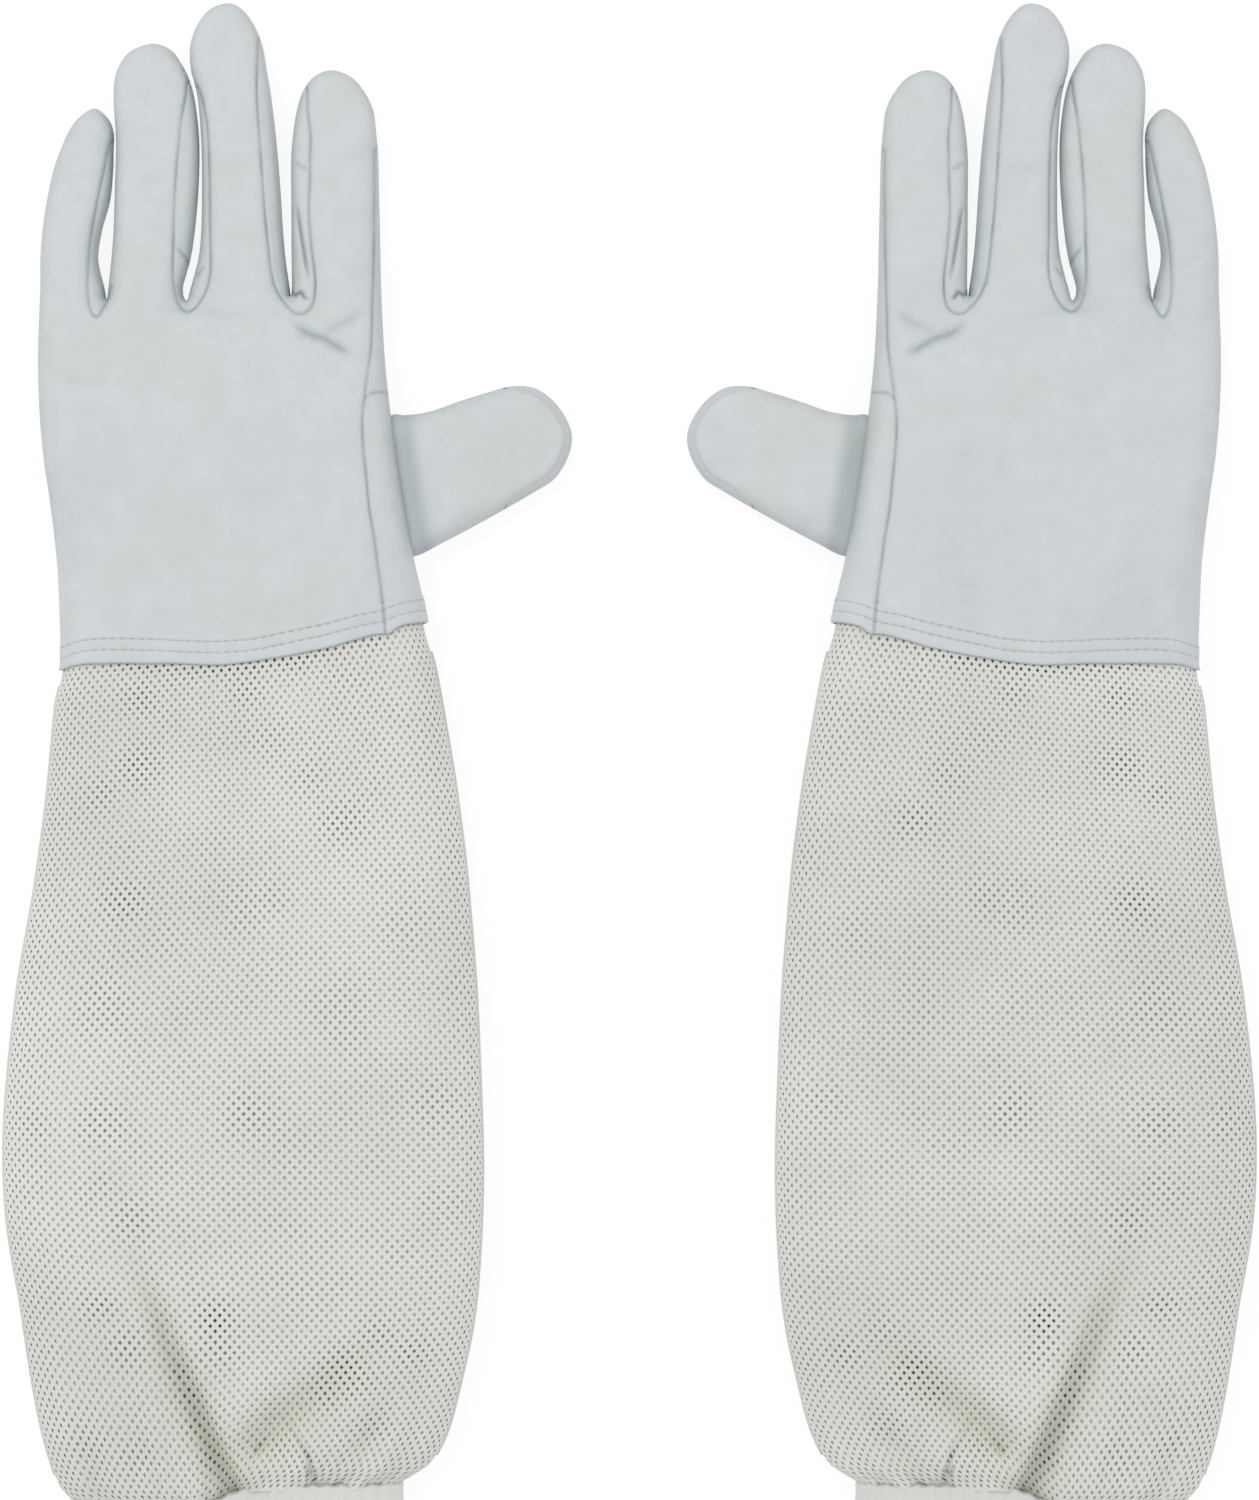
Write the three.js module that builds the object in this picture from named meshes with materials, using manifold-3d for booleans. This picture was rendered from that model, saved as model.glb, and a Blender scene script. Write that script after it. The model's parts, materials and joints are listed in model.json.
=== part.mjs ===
// A pair of beekeeping gloves, lying palm down on a flat surface, in millimetres with +Z up.
// Each glove is a leather hand of cut and sewn panels, a ventilated sleeve of three fabric layers,
// and an elastic cuff. Fingers point to +Y and the two thumbs point at each other across X = 0.
// The origin is the centre of the pair, on the surface that the gloves lie on.
import * as THREE from "three";
import { mergeVertices } from "three/addons/utils/BufferGeometryUtils.js";
import Module from "manifold-3d";

const wasm = await Module();
wasm.setup();

// Driving dimensions. A glove's own frame has its origin on the surface, under the middle of the
// knuckle line, with the fingers along +Y and the thumb on the +X side.
const KNUCKLE_Y = 156; // knuckle line of both gloves, from the middle of the pair
const GLOVE_X = 141.5; // centre of each knuckle line, from the middle of the pair
const LEATHER = 1.2;
const GAP = 0.4; // between neighbouring pieces
const SEAM_ANGLE = 50; // where a finger's back and front panels meet its side strips, in degrees
const CURL_BACK = 15; // how far a finger can bend back, in degrees: its root is raked to suit

const HAND_HEIGHT = 22;
const WRIST_Y = -115.6; // middle of the slanted line where leather meets sleeve
const WRIST_SLANT = 6.6; // degrees, the thumb side reaching further towards the fingers
const WRIST_X = 11;
const WRIST_HALF_WIDTH = 63;
const HEM_WIDTH = 12;
const HEM_THICKNESS = 2;

const SLEEVE_LENGTH = 285;
const NET = 0.8;
const SPACER = 1.4;
const LAYER_GAP = 0.35;
const CASING_LENGTH = 12.5;
const FRILL_FROM = 0.7; // share of the casing's length that holds the elastic
const ELASTIC_WIDTH = 8;
const ELASTIC = 1; // thickness

// Fingers: root centre, sideways run of the tip, length, half width at the root and half way
// along, and which sides carry a sewn strip (the little finger is folded on its outer side).
const FINGERS = {
  little: { x: -47.8, lean: 7.2, length: 66.6, root: 9.6, middle: 9.8, strips: ["inner"] },
  ring: { x: -20.9, lean: 0.9, length: 88.6, root: 13.0, middle: 12.5, strips: ["outer", "inner"] },
  middle: { x: 10.2, lean: -4.6, length: 102, root: 16.4, middle: 13.4, strips: ["outer", "inner"] },
  index: { x: 43.0, lean: -2.6, length: 79.4, root: 14.4, middle: 14.4, strips: ["outer", "inner"] },
};
const FINGER_HEIGHT = 17;
const TIP_HEIGHT = 9;
const TIP_ROUND = 0.3; // share of a finger's length that is its rounded tip
const TIP_THINNEST = 0.45; // how much of its height a tip keeps
const FORK_WIDTH = 4;
const FORKS = { ring_little: -36.4, middle_ring: -7.1, index_middle: 27.6 }; // x of each fork

const THUMB = { x: 66.8, y: -61.5, angle: 16.4, length: 57, root: 22.5, middle: 20.5 };
const THUMB_ROOT_ANGLE = 8; // the thumb's root lies along the hand's slanted side
const THUMB_HEIGHT = 15;
const THUMB_TIP_HALF_HEIGHT = 3;
const THUMB_HOLE = { x: 62, reach: 30, top: -43, bottom: -80, height: 10 };

const rad = THREE.MathUtils.degToRad;
const UP = new THREE.Vector3(0, 0, 1);

const leather = new THREE.MeshStandardMaterial({ color: 0xcfd5d8, roughness: 0.62, metalness: 0 });
const netting = new THREE.MeshStandardMaterial({ color: 0xdedfd9, roughness: 0.9, metalness: 0 });
const spacerFabric = new THREE.MeshStandardMaterial({ color: 0xc4c5be, roughness: 0.95, metalness: 0 });
const elasticFabric = new THREE.MeshStandardMaterial({ color: 0xe4e4e0, roughness: 0.85, metalness: 0 });

// ---- Sections ----------------------------------------------------------------------------

// Points round a stadium of half width a and half height b, from one seam angle to another, in
// degrees anticlockwise from +X. The flat top lies at 90 degrees and the flat bottom at 270.
function stadium(a, b, from, to) {
  const ARC_STEP = 30;
  const FLAT_STEPS = 2;
  const flat = Math.max(a - b, 0);
  const points = [];
  const arc = (start, end) => {
    const steps = Math.max(1, Math.round((end - start) / ARC_STEP));
    const side = Math.cos(rad((start + end) / 2)) > 0 ? flat : -flat;
    for (let i = 0; i <= steps; i++) {
      const angle = rad(start + ((end - start) * i) / steps);
      points.push(new THREE.Vector2(side + b * Math.cos(angle), b * Math.sin(angle)));
    }
  };
  for (let start = from; start < to; ) {
    const turn = 90 + 180 * (Math.floor((start - 90) / 180) + 1); // the next flat
    const end = Math.min(turn, to);
    arc(start, end);
    if (end === turn && turn < to) {
      const last = points[points.length - 1];
      for (let i = 1; i < FLAT_STEPS; i++)
        points.push(new THREE.Vector2(last.x * (1 - (2 * i) / FLAT_STEPS), last.y));
    }
    start = end;
  }
  return points;
}

// One cross-section of a glove's tube: where its middle touches the surface, the direction across
// it, its half width and half height, and how far it rakes back with height.
function station(x, y, angle, halfWidth, halfHeight, rake = 0) {
  const across = new THREE.Vector3(Math.cos(rad(angle)), Math.sin(rad(angle)), 0);
  return { origin: new THREE.Vector3(x, y, 0), across, halfWidth, halfHeight, rake };
}

function placed(s, point) {
  const height = s.halfHeight + point.y;
  return s.origin
    .clone()
    .addScaledVector(s.across, point.x)
    .addScaledVector(UP, height)
    .add(new THREE.Vector3(0, height * s.rake, 0));
}

// ---- Solids from sections ----------------------------------------------------------------

function geometryOf(corners, faces) {
  const geometry = new THREE.BufferGeometry();
  const positions = corners.flatMap((c) => [c.x, c.y, c.z]);
  geometry.setAttribute("position", new THREE.Float32BufferAttribute(positions, 3));
  geometry.setIndex(faces.flat());
  geometry.computeVertexNormals();
  return geometry;
}

const quad = (a, b, c, d) => [a, b, c, a, c, d];

// A curved panel with a thickness, between two seam angles, lofted through the stations.
function panel(stations, from, to, outset, inset) {
  const corners = [];
  const grid = (offset) =>
    stations.map((s) => {
      const ring = stadium(s.halfWidth - offset, s.halfHeight - offset, from, to);
      return ring.map((p) => corners.push(placed(s, p)) - 1);
    });
  const outer = grid(outset);
  const inner = grid(inset);
  const faces = [];
  const lastRow = outer.length - 1;
  const lastColumn = outer[0].length - 1;
  for (let i = 0; i < lastRow; i++)
    for (let j = 0; j < lastColumn; j++) {
      faces.push(quad(outer[i][j], outer[i][j + 1], outer[i + 1][j + 1], outer[i + 1][j]));
      faces.push(quad(inner[i][j], inner[i + 1][j], inner[i + 1][j + 1], inner[i][j + 1]));
    }
  for (let j = 0; j < lastColumn; j++) {
    faces.push(quad(outer[0][j], inner[0][j], inner[0][j + 1], outer[0][j + 1]));
    faces.push(quad(outer[lastRow][j], outer[lastRow][j + 1], inner[lastRow][j + 1], inner[lastRow][j]));
  }
  for (let i = 0; i < lastRow; i++) {
    faces.push(quad(outer[i][0], outer[i + 1][0], inner[i + 1][0], inner[i][0]));
    const c = lastColumn;
    faces.push(quad(outer[i][c], inner[i][c], inner[i + 1][c], outer[i + 1][c]));
  }
  return facingOut(geometryOf(corners, faces));
}

// A tube with a wall, open at both ends, lofted through the stations.
function tube(stations, outset, inset) {
  const corners = [];
  const grid = (offset) =>
    stations.map((s) => {
      const ring = stadium(s.halfWidth - offset, s.halfHeight - offset, 0, 360).slice(0, -1);
      return ring.map((p) => corners.push(placed(s, p)) - 1);
    });
  const outer = grid(outset);
  const inner = grid(inset);
  const faces = [];
  const lastRow = outer.length - 1;
  const count = outer[0].length;
  for (let j = 0; j < count; j++) {
    const k = (j + 1) % count;
    for (let i = 0; i < lastRow; i++) {
      faces.push(quad(outer[i][j], outer[i][k], outer[i + 1][k], outer[i + 1][j]));
      faces.push(quad(inner[i][j], inner[i + 1][j], inner[i + 1][k], inner[i][k]));
    }
    faces.push(quad(outer[0][j], inner[0][j], inner[0][k], outer[0][k]));
    faces.push(quad(outer[lastRow][j], outer[lastRow][k], inner[lastRow][k], inner[lastRow][j]));
  }
  return facingOut(geometryOf(corners, faces));
}

// ---- Cutting -----------------------------------------------------------------------------

function solidOf(geometry) {
  const bare = geometry.clone();
  bare.deleteAttribute("normal");
  bare.deleteAttribute("uv");
  const merged = mergeVertices(bare, 1e-3);
  return new wasm.Manifold(
    new wasm.Mesh({
      numProp: 3,
      vertProperties: merged.attributes.position.array,
      triVerts: new Uint32Array(merged.index.array),
    }),
  );
}

function geometryFrom(solid) {
  const mesh = solid.getMesh();
  const geometry = new THREE.BufferGeometry();
  geometry.setAttribute("position", new THREE.BufferAttribute(mesh.vertProperties, 3));
  geometry.setIndex(new THREE.BufferAttribute(mesh.triVerts, 1));
  geometry.computeVertexNormals();
  return geometry;
}

// The same surface, with its faces turned round if they point inwards.
function facingOut(geometry) {
  if (solidOf(geometry).volume() >= 0) return geometry;
  const index = geometry.index.array;
  for (let i = 0; i < index.length; i += 3) [index[i + 1], index[i + 2]] = [index[i + 2], index[i + 1]];
  geometry.computeVertexNormals();
  return geometry;
}

function cut(geometry, tool) {
  return geometryFrom(solidOf(geometry).subtract(solidOf(tool)));
}

// ---- Stations of each tube ---------------------------------------------------------------

// A finger bulges a little from its root, then rounds off at the tip. x and y are its root.
function fingerStations(f, rootAngle, angle, rootHeight, rake) {
  const SHARES = [0, 0.25, 0.5, 0.7, 0.84, 0.94, 0.99];
  const run = f.lean ?? 0;
  const direction = new THREE.Vector2(-Math.sin(rad(angle)), Math.cos(rad(angle)));
  return SHARES.map((t) => {
    const into = Math.max(0, (t - (1 - TIP_ROUND)) / TIP_ROUND);
    const round = Math.sqrt(1 - into * into);
    const half = THREE.MathUtils.lerp(f.root, f.middle, Math.min(1, t / 0.5)) * round;
    const height = THREE.MathUtils.lerp(rootHeight, TIP_HEIGHT, t) * Math.max(round, TIP_THINNEST);
    const halfHeight = Math.min(height / 2, half - 0.5);
    const x = f.x + run * t + direction.x * f.length * t;
    const y = (f.y ?? 0) + direction.y * f.length * t;
    const turned = THREE.MathUtils.lerp(rootAngle, angle, Math.min(1, 2 * t));
    return station(x, y, turned, half, halfHeight, t === 0 ? rake : 0);
  });
}

// The hand narrows a little at the wrist, and leans from the slanted hem to the knuckle line.
function handStations(fromShare, toShare, steps) {
  const WIDTHS = new THREE.SplineCurve([
    new THREE.Vector2(0, WRIST_HALF_WIDTH),
    new THREE.Vector2(0.3, 59.6),
    new THREE.Vector2(0.65, 59.8),
    new THREE.Vector2(1, 58),
  ]);
  const list = [];
  for (let i = 0; i <= steps; i++) {
    const t = THREE.MathUtils.lerp(fromShare, toShare, i / steps);
    const x = WRIST_X * (1 - t) ** 1.3;
    const y = THREE.MathUtils.lerp(WRIST_Y, 0, t);
    const angle = WRIST_SLANT * (1 - t) ** 2;
    list.push(station(x, y, angle, WIDTHS.getPoint(t).y, HAND_HEIGHT / 2));
  }
  return list;
}

// The sleeve swells to its widest two thirds of the way down, and is gathered in by the elastic.
function sleeveStations(steps) {
  const PROFILE = new THREE.CatmullRomCurve3([
    // distance down the sleeve, half width, half height
    new THREE.Vector3(0, WRIST_HALF_WIDTH, 11),
    new THREE.Vector3(75, 73, 14.5),
    new THREE.Vector3(165, 81.5, 16),
    new THREE.Vector3(235, 75, 16),
    new THREE.Vector3(268, 65.5, 14),
    new THREE.Vector3(SLEEVE_LENGTH, 54.5, 10.5),
  ]);
  const list = [];
  for (let i = 0; i <= steps; i++) {
    const p = PROFILE.getPoint(i / steps);
    const share = p.x / SLEEVE_LENGTH;
    const angle = WRIST_SLANT * (1 - share) ** 4;
    const x = WRIST_X + 2 * Math.sin(Math.PI * share) - 2 * share;
    list.push(station(x, WRIST_Y - p.x, angle, p.y, p.z));
  }
  return list;
}

// The casing goes on from the gathered end of the sleeve and flares into a short frill.
function casingStations() {
  const end = sleeveStations(1)[1];
  const INSET = { x: 2.5, z: 1 }; // how far the elastic draws the casing in
  const FLARE = [
    // share of the casing's length, growth in half height
    [0, 1.05],
    [0.35, 0.175],
    [FRILL_FROM, 1.4],
    [1, 2.45],
  ];
  return FLARE.map(([t, flare]) =>
    station(
      end.origin.x,
      end.origin.y - GAP - CASING_LENGTH * t,
      0,
      end.halfWidth - INSET.x + 2 * flare,
      end.halfHeight - INSET.z + flare,
    ),
  );
}

// ---- The pieces of one glove -------------------------------------------------------------

function named(name, geometry, material) {
  const mesh = new THREE.Mesh(geometry, material);
  mesh.name = name;
  return mesh;
}

// The seam angles of a panel, drawn in by half the gap that it keeps to its neighbour.
function seams(from, to, halfHeight) {
  const inset = THREE.MathUtils.radToDeg(GAP / 2 / (halfHeight - LEATHER));
  return [from + inset, to - inset];
}

function finger(name, f) {
  const stations = fingerStations(f, 0, 0, FINGER_HEIGHT, Math.tan(rad(CURL_BACK)));
  const smallest = stations[stations.length - 1].halfHeight;
  const folded = !f.strips.includes("outer");
  const piece = (part, from, to) => {
    const [a, b] = seams(from, to, smallest);
    return named(`${name}_${part}`, panel(stations, a, b, 0, LEATHER), leather);
  };
  const s = SEAM_ANGLE;
  const pieces = [
    piece("finger_back", s, folded ? 180 : 180 - s),
    piece("finger_front", folded ? 180 : 180 + s, 360 - s),
    piece("inner_strip", -s, s),
  ];
  if (!folded) pieces.push(piece("outer_strip", 180 - s, 180 + s));
  return pieces;
}

function thumb() {
  const stations = fingerStations(THUMB, THUMB_ROOT_ANGLE - 90, THUMB.angle - 90, THUMB_HEIGHT, 0);
  const [top, half] = seams(0, 180, THUMB_TIP_HALF_HEIGHT);
  return [
    named("thumb_back", panel(stations, top, half, 0, LEATHER), leather),
    named("thumb_front", panel(stations, top + 180, half + 180, 0, LEATHER), leather),
  ];
}

// A web of leather closes the hand between two fingers, from the palm to the back.
function fork(name, x) {
  const height = FINGER_HEIGHT - 3 * LEATHER;
  const geometry = new THREE.BoxGeometry(FORK_WIDTH, LEATHER, height);
  geometry.translate(x, -GAP - LEATHER / 2, 2 * LEATHER + height / 2);
  return named(name, geometry, leather);
}

function hand() {
  const SIDE_SEAM = 55;
  const hemShare = HEM_WIDTH / -WRIST_Y;
  const body = handStations(hemShare + GAP / -WRIST_Y, 1 - GAP / -WRIST_Y, 5);
  const hem = handStations(0, hemShare, 1);
  const [backFrom, backTo] = seams(SIDE_SEAM, 180, HAND_HEIGHT / 2);
  const [palmFrom, palmTo] = seams(180, 360 - SIDE_SEAM, HAND_HEIGHT / 2);
  const [sideFrom, sideTo] = seams(-SIDE_SEAM, SIDE_SEAM, HAND_HEIGHT / 2);

  const hole = THUMB_HOLE;
  const thumbHole = new THREE.BoxGeometry(hole.reach, hole.top - hole.bottom, hole.height);
  thumbHole.translate(hole.x, (hole.top + hole.bottom) / 2, hole.height / 2 + LEATHER + GAP);
  return [
    named("back_panel", panel(body, backFrom, backTo, 0, LEATHER), leather),
    named("palm_panel", panel(body, palmFrom, palmTo, 0, LEATHER), leather),
    named("side_panel", cut(panel(body, sideFrom, sideTo, 0, LEATHER), thumbHole), leather),
    named("cuff_hem", tube(hem, 0, HEM_THICKNESS), leather),
    ...Object.entries(FORKS).map(([between, x]) => fork(`fork_${between}`, x)),
  ];
}

function sleeve() {
  const STEPS = 8;
  const stations = sleeveStations(STEPS).map((s) => {
    s.origin.y -= GAP;
    return s;
  });
  const casing = casingStations();
  const spacerAt = NET + LAYER_GAP;
  const innerAt = spacerAt + SPACER + LAYER_GAP;
  const [start, narrowest] = casing;
  const elasticTop = start.origin.y - (CASING_LENGTH * FRILL_FROM - ELASTIC_WIDTH) / 2;
  const elastic = [elasticTop, elasticTop - ELASTIC_WIDTH].map((y) =>
    station(narrowest.origin.x, y, 0, narrowest.halfWidth, narrowest.halfHeight),
  );
  return [
    named("sleeve_outer_net", tube(stations, 0, NET), netting),
    named("sleeve_spacer", tube(stations, spacerAt, spacerAt + SPACER), spacerFabric),
    named("sleeve_inner_net", tube(stations, innerAt, innerAt + NET), netting),
    named("elastic_casing", tube(casing, 0, NET), netting),
    named("elastic_band", tube(elastic, NET + GAP, NET + GAP + ELASTIC), elasticFabric),
  ];
}

function glove(side) {
  const group = new THREE.Group();
  const pieces = [...hand(), ...thumb(), ...sleeve()];
  for (const [name, f] of Object.entries(FINGERS)) pieces.push(...finger(name, f));
  for (const piece of pieces) {
    piece.name = `${side}_${piece.name}`;
    group.add(piece);
  }
  const mirror = side === "left" ? 1 : -1;
  group.scale.x = mirror;
  group.position.set(-GLOVE_X * mirror, KNUCKLE_Y, 0);
  return group;
}

const pair = new THREE.Group();
pair.add(glove("left"), glove("right"));

export default pair;
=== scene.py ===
"""The looks of a pair of beekeeping gloves: leather hands, ventilated sleeves and elastic cuffs.

The left glove is built in millimetres in its own plan: x across the hand towards the thumb, y along
the fingers from the knuckle line, z up from the surface it lies on. The right glove is its mirror
image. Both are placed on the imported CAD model, which gives their positions.
"""
import json
import math

import bpy
import numpy as np
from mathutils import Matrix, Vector, kdtree
from mathutils.geometry import delaunay_2d_cdt


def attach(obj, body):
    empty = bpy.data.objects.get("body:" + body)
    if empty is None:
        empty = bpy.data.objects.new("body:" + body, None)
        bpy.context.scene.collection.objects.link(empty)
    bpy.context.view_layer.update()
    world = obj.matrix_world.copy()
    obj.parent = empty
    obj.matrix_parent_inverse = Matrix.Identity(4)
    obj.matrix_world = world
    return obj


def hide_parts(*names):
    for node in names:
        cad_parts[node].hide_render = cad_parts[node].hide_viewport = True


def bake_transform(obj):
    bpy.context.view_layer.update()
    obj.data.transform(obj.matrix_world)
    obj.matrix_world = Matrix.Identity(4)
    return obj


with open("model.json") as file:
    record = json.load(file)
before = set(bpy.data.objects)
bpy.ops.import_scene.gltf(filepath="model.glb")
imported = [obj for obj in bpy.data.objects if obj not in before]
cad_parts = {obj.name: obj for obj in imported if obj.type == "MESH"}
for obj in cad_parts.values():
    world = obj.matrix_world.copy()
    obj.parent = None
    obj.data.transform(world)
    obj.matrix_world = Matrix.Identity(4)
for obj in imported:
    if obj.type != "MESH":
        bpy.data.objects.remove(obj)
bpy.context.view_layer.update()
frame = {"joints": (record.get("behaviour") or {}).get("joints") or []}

MM = 0.001
LIFT = 0.15  # the gloves' undersides stand this far above the floor, in millimetres
LEATHER = 1.1  # a panel's thickness
BLOCK = 4000  # points measured against a line at a time

# ---- Curves and fields in the plan -----------------------------------------------------


def smoothstep(a, b, x):
    t = np.clip((np.asarray(x, float) - a) / (b - a), 0, 1)
    return t * t * (3 - 2 * t)


def catmull(points, step):
    """The points joined by a smooth curve, sampled about every step."""
    p = np.asarray(points, float)
    p = np.vstack([2 * p[0] - p[1], p, 2 * p[-1] - p[-2]])
    out = []
    for i in range(1, len(p) - 2):
        a, b, c, d = p[i - 1 : i + 3]
        n = max(1, int(round(np.linalg.norm(c - b) / step)))
        t = (np.arange(n) / n)[:, None]
        out.append(
            0.5 * (2 * b + (c - a) * t + (2 * a - 5 * b + 4 * c - d) * t**2 + (3 * b - a - 3 * c + d) * t**3)
        )
    out.append(p[-2][None])
    return np.vstack(out)


def bell(u):
    """1 at 0, falling off smoothly to both sides."""
    return np.exp(-(u**2))


def smoothed(table, column, at, offsets):
    """A column of a table read at several places round each of at, and averaged. Its first column rises."""
    rows = np.array(table, float)
    return sum(np.interp(at + o, rows[:, 0], rows[:, column]) for o in offsets) / len(offsets)


def line_length(line):
    return np.linalg.norm(np.diff(line, axis=0), axis=1).sum()


def to_right(line):
    """The unit vector to the right of a plan line's direction, at each of its points."""
    t = np.gradient(line, axis=0)
    t /= np.maximum(np.linalg.norm(t, axis=1, keepdims=True), 1e-9)
    return np.stack([t[:, 1], -t[:, 0]], 1)


def point_tree(points):
    """A tree that finds the plan points near a place."""
    tree = kdtree.KDTree(len(points))
    for n, p in enumerate(points):
        tree.insert((p[0], p[1], 0), n)
    tree.balance()
    return tree


def distance_to(points, line):
    """Each point's distance to a polyline, how far along the line it is, and which side of it."""
    a, b = line[:-1], line[1:]
    ab = b - a
    length = np.maximum((ab**2).sum(1), 1e-12)
    along = np.concatenate([[0], np.cumsum(np.sqrt(length))])
    best = np.full(len(points), 1e9)
    where = np.zeros(len(points))
    side = np.ones(len(points))
    for start in range(0, len(points), BLOCK):
        part = slice(start, start + BLOCK)
        q = points[part]
        ap = q[:, None] - a[None]
        t = np.clip((ap * ab[None]).sum(2) / length, 0, 1)
        gap = ap - t[..., None] * ab[None]
        d2 = (gap**2).sum(2)
        k = d2.argmin(1)
        rows = np.arange(len(q))
        best[part] = np.sqrt(d2[rows, k])
        where[part] = along[k] + t[rows, k] * np.sqrt(length[k])
        cross = ab[k, 0] * ap[rows, k, 1] - ab[k, 1] * ap[rows, k, 0]
        side[part] = np.where(cross >= 0, 1, -1)
    return best, where, side


def inside(points, polygon):
    x, y = points[:, 0], points[:, 1]
    hit = np.zeros(len(points), bool)
    a, b = polygon, np.roll(polygon, -1, 0)
    for (x0, y0), (x1, y1) in zip(a, b):
        if y0 == y1:
            continue
        crosses = (y0 > y) != (y1 > y)
        hit ^= crosses & (x < x0 + (y - y0) * (x1 - x0) / (y1 - y0))
    return hit


class Noise:
    """Smooth value noise in the plan, from a seed."""

    def __init__(self, seed, size):
        self.grid = np.random.RandomState(seed).uniform(-1, 1, (64, 64))
        self.size = size

    def __call__(self, x, y):
        u, v = np.asarray(x) / self.size + 31.7, np.asarray(y) / self.size + 17.3
        i, j = np.floor(u).astype(int), np.floor(v).astype(int)
        s, t = smoothstep(0, 1, u - i), smoothstep(0, 1, v - j)
        g = self.grid
        top = g[i % 64, j % 64] * (1 - s) + g[(i + 1) % 64, j % 64] * s
        low = g[i % 64, (j + 1) % 64] * (1 - s) + g[(i + 1) % 64, (j + 1) % 64] * s
        return top * (1 - t) + low * t


# ---- The glove's plan ------------------------------------------------------------------
# Each finger's edges, as (y, outer x, inner x) from its root to near its tip, and the tip itself.
FINGER_EDGES = {
    "little": [(5, -57.8, -36.0), (15, -57.8, -38.2), (25, -57.1, -36.9), (35, -55.7, -34.3),
               (45, -53.7, -33.4), (52, -51.4, -33.3), (58, -48.9, -33.3), (63.0, -45.6, -35.2)],
    "ring": [(5, -34.8, -9.6), (15, -33.8, -7.0), (25, -33.1, -5.5), (40, -32.7, -4.3), (55, -32.4, -4.2),
             (68, -33.3, -5.6), (76, -33.1, -7.6), (82, -31.0, -10.6), (86.4, -27.0, -14.0)],
    "middle": [(5, -7.0, 26.6), (15, -4.4, 25.2), (25, -3.4, 24.3), (40, -3.2, 23.3), (55, -3.5, 22.0),
               (70, -4.8, 20.2), (80, -7.2, 18.5), (88, -7.4, 17.0), (95, -5.0, 14.1), (100.3, -0.6, 10.0)],
    "index": [(6, 27.3, 57.5), (20, 27.1, 57.2), (35, 27.0, 56.8), (50, 26.9, 56.4), (60, 27.8, 55.5),
              (66, 28.8, 54.6), (72, 30.6, 51.7), (77.3, 34.4, 47.0)],
}
FINGER_TIPS = {"little": (-40.0, 66.6), "ring": (-19.9, 88.6), "middle": (5.4, 102.3), "index": (40.4, 79.6)}
CROTCHES = {("little", "ring"): 1.4, ("ring", "middle"): 0.9, ("middle", "index"): 2.8}
ORDER = ["little", "ring", "middle", "index"]
OUTER_EDGE = [(-50.4, -123.24), (-51.0, -105), (-51.8, -88), (-54.1, -68), (-56.4, -52), (-57.9, -34),
              (-58.4, -15)]
INNER_EDGE = [(58.6, -16), (60.4, -34), (62.6, -50), (65.4, -68), (68.6, -86), (71.6, -99), (73.3, -108.4)]
SPLIT_Y = 6.0  # hand below, fingers above
BEND_END = 24.0
SIDE_SEAM = [(55.5, 64.7), (55.3, 48.8), (55.4, 28.9), (55.1, 4.1), (54.5, -14.8), (52.9, -29.7),
             (51.9, -42.7), (53.4, -61.5), (55.8, -80.4), (58.5, -98.3), (59.8, -113.2)]
SEAMS = {  # on the back of the hand: each runs down one finger, round the crotch and up the next
    "little_ring": [(-34.9, 62.9), (-33.9, 58.2), (-35.1, 49.8), (-38.1, 33.9), (-40.3, 20), (-41, 7),
                    (-40.1, -1.9), (-37.7, -5.5), (-35.1, -1.1), (-34.5, 4.1), (-34.1, 11)],
    "ring_middle": [(-8.3, 77.2), (-8.7, 68.7), (-10.3, 54.8), (-11.4, 37.9), (-12.2, 17), (-12.1, 7),
                    (-10.5, -0.5), (-7.1, -3.5), (-2.5, 0.5), (0.5, 9), (0.3, 23.9), (0, 40.8), (-0.7, 56.7),
                    (-2.9, 68.7), (-6.3, 77.2)],
    "middle_index": [(15.4, 92.1), (15.8, 86.6), (15.9, 70.7), (17, 51.8), (19.1, 26.9), (21.1, 10),
                     (23.9, 1.7), (29.5, -4.3), (34.6, -2.1), (35.8, 6), (34.6, 19), (33.7, 30.9),
                     (33.7, 43.8), (33.9, 55.7), (32.7, 64.7), (32.5, 72)],
}
UNDER_INSET = 4.2  # how far in from the edge the seams run on the palm side
CROSS_SEAM = [(48.6, -34.3), (52.7, -32.9), (54.2, -31.5), (57, -30.9), (62.5, -30.5)]  # over the side panel
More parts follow.
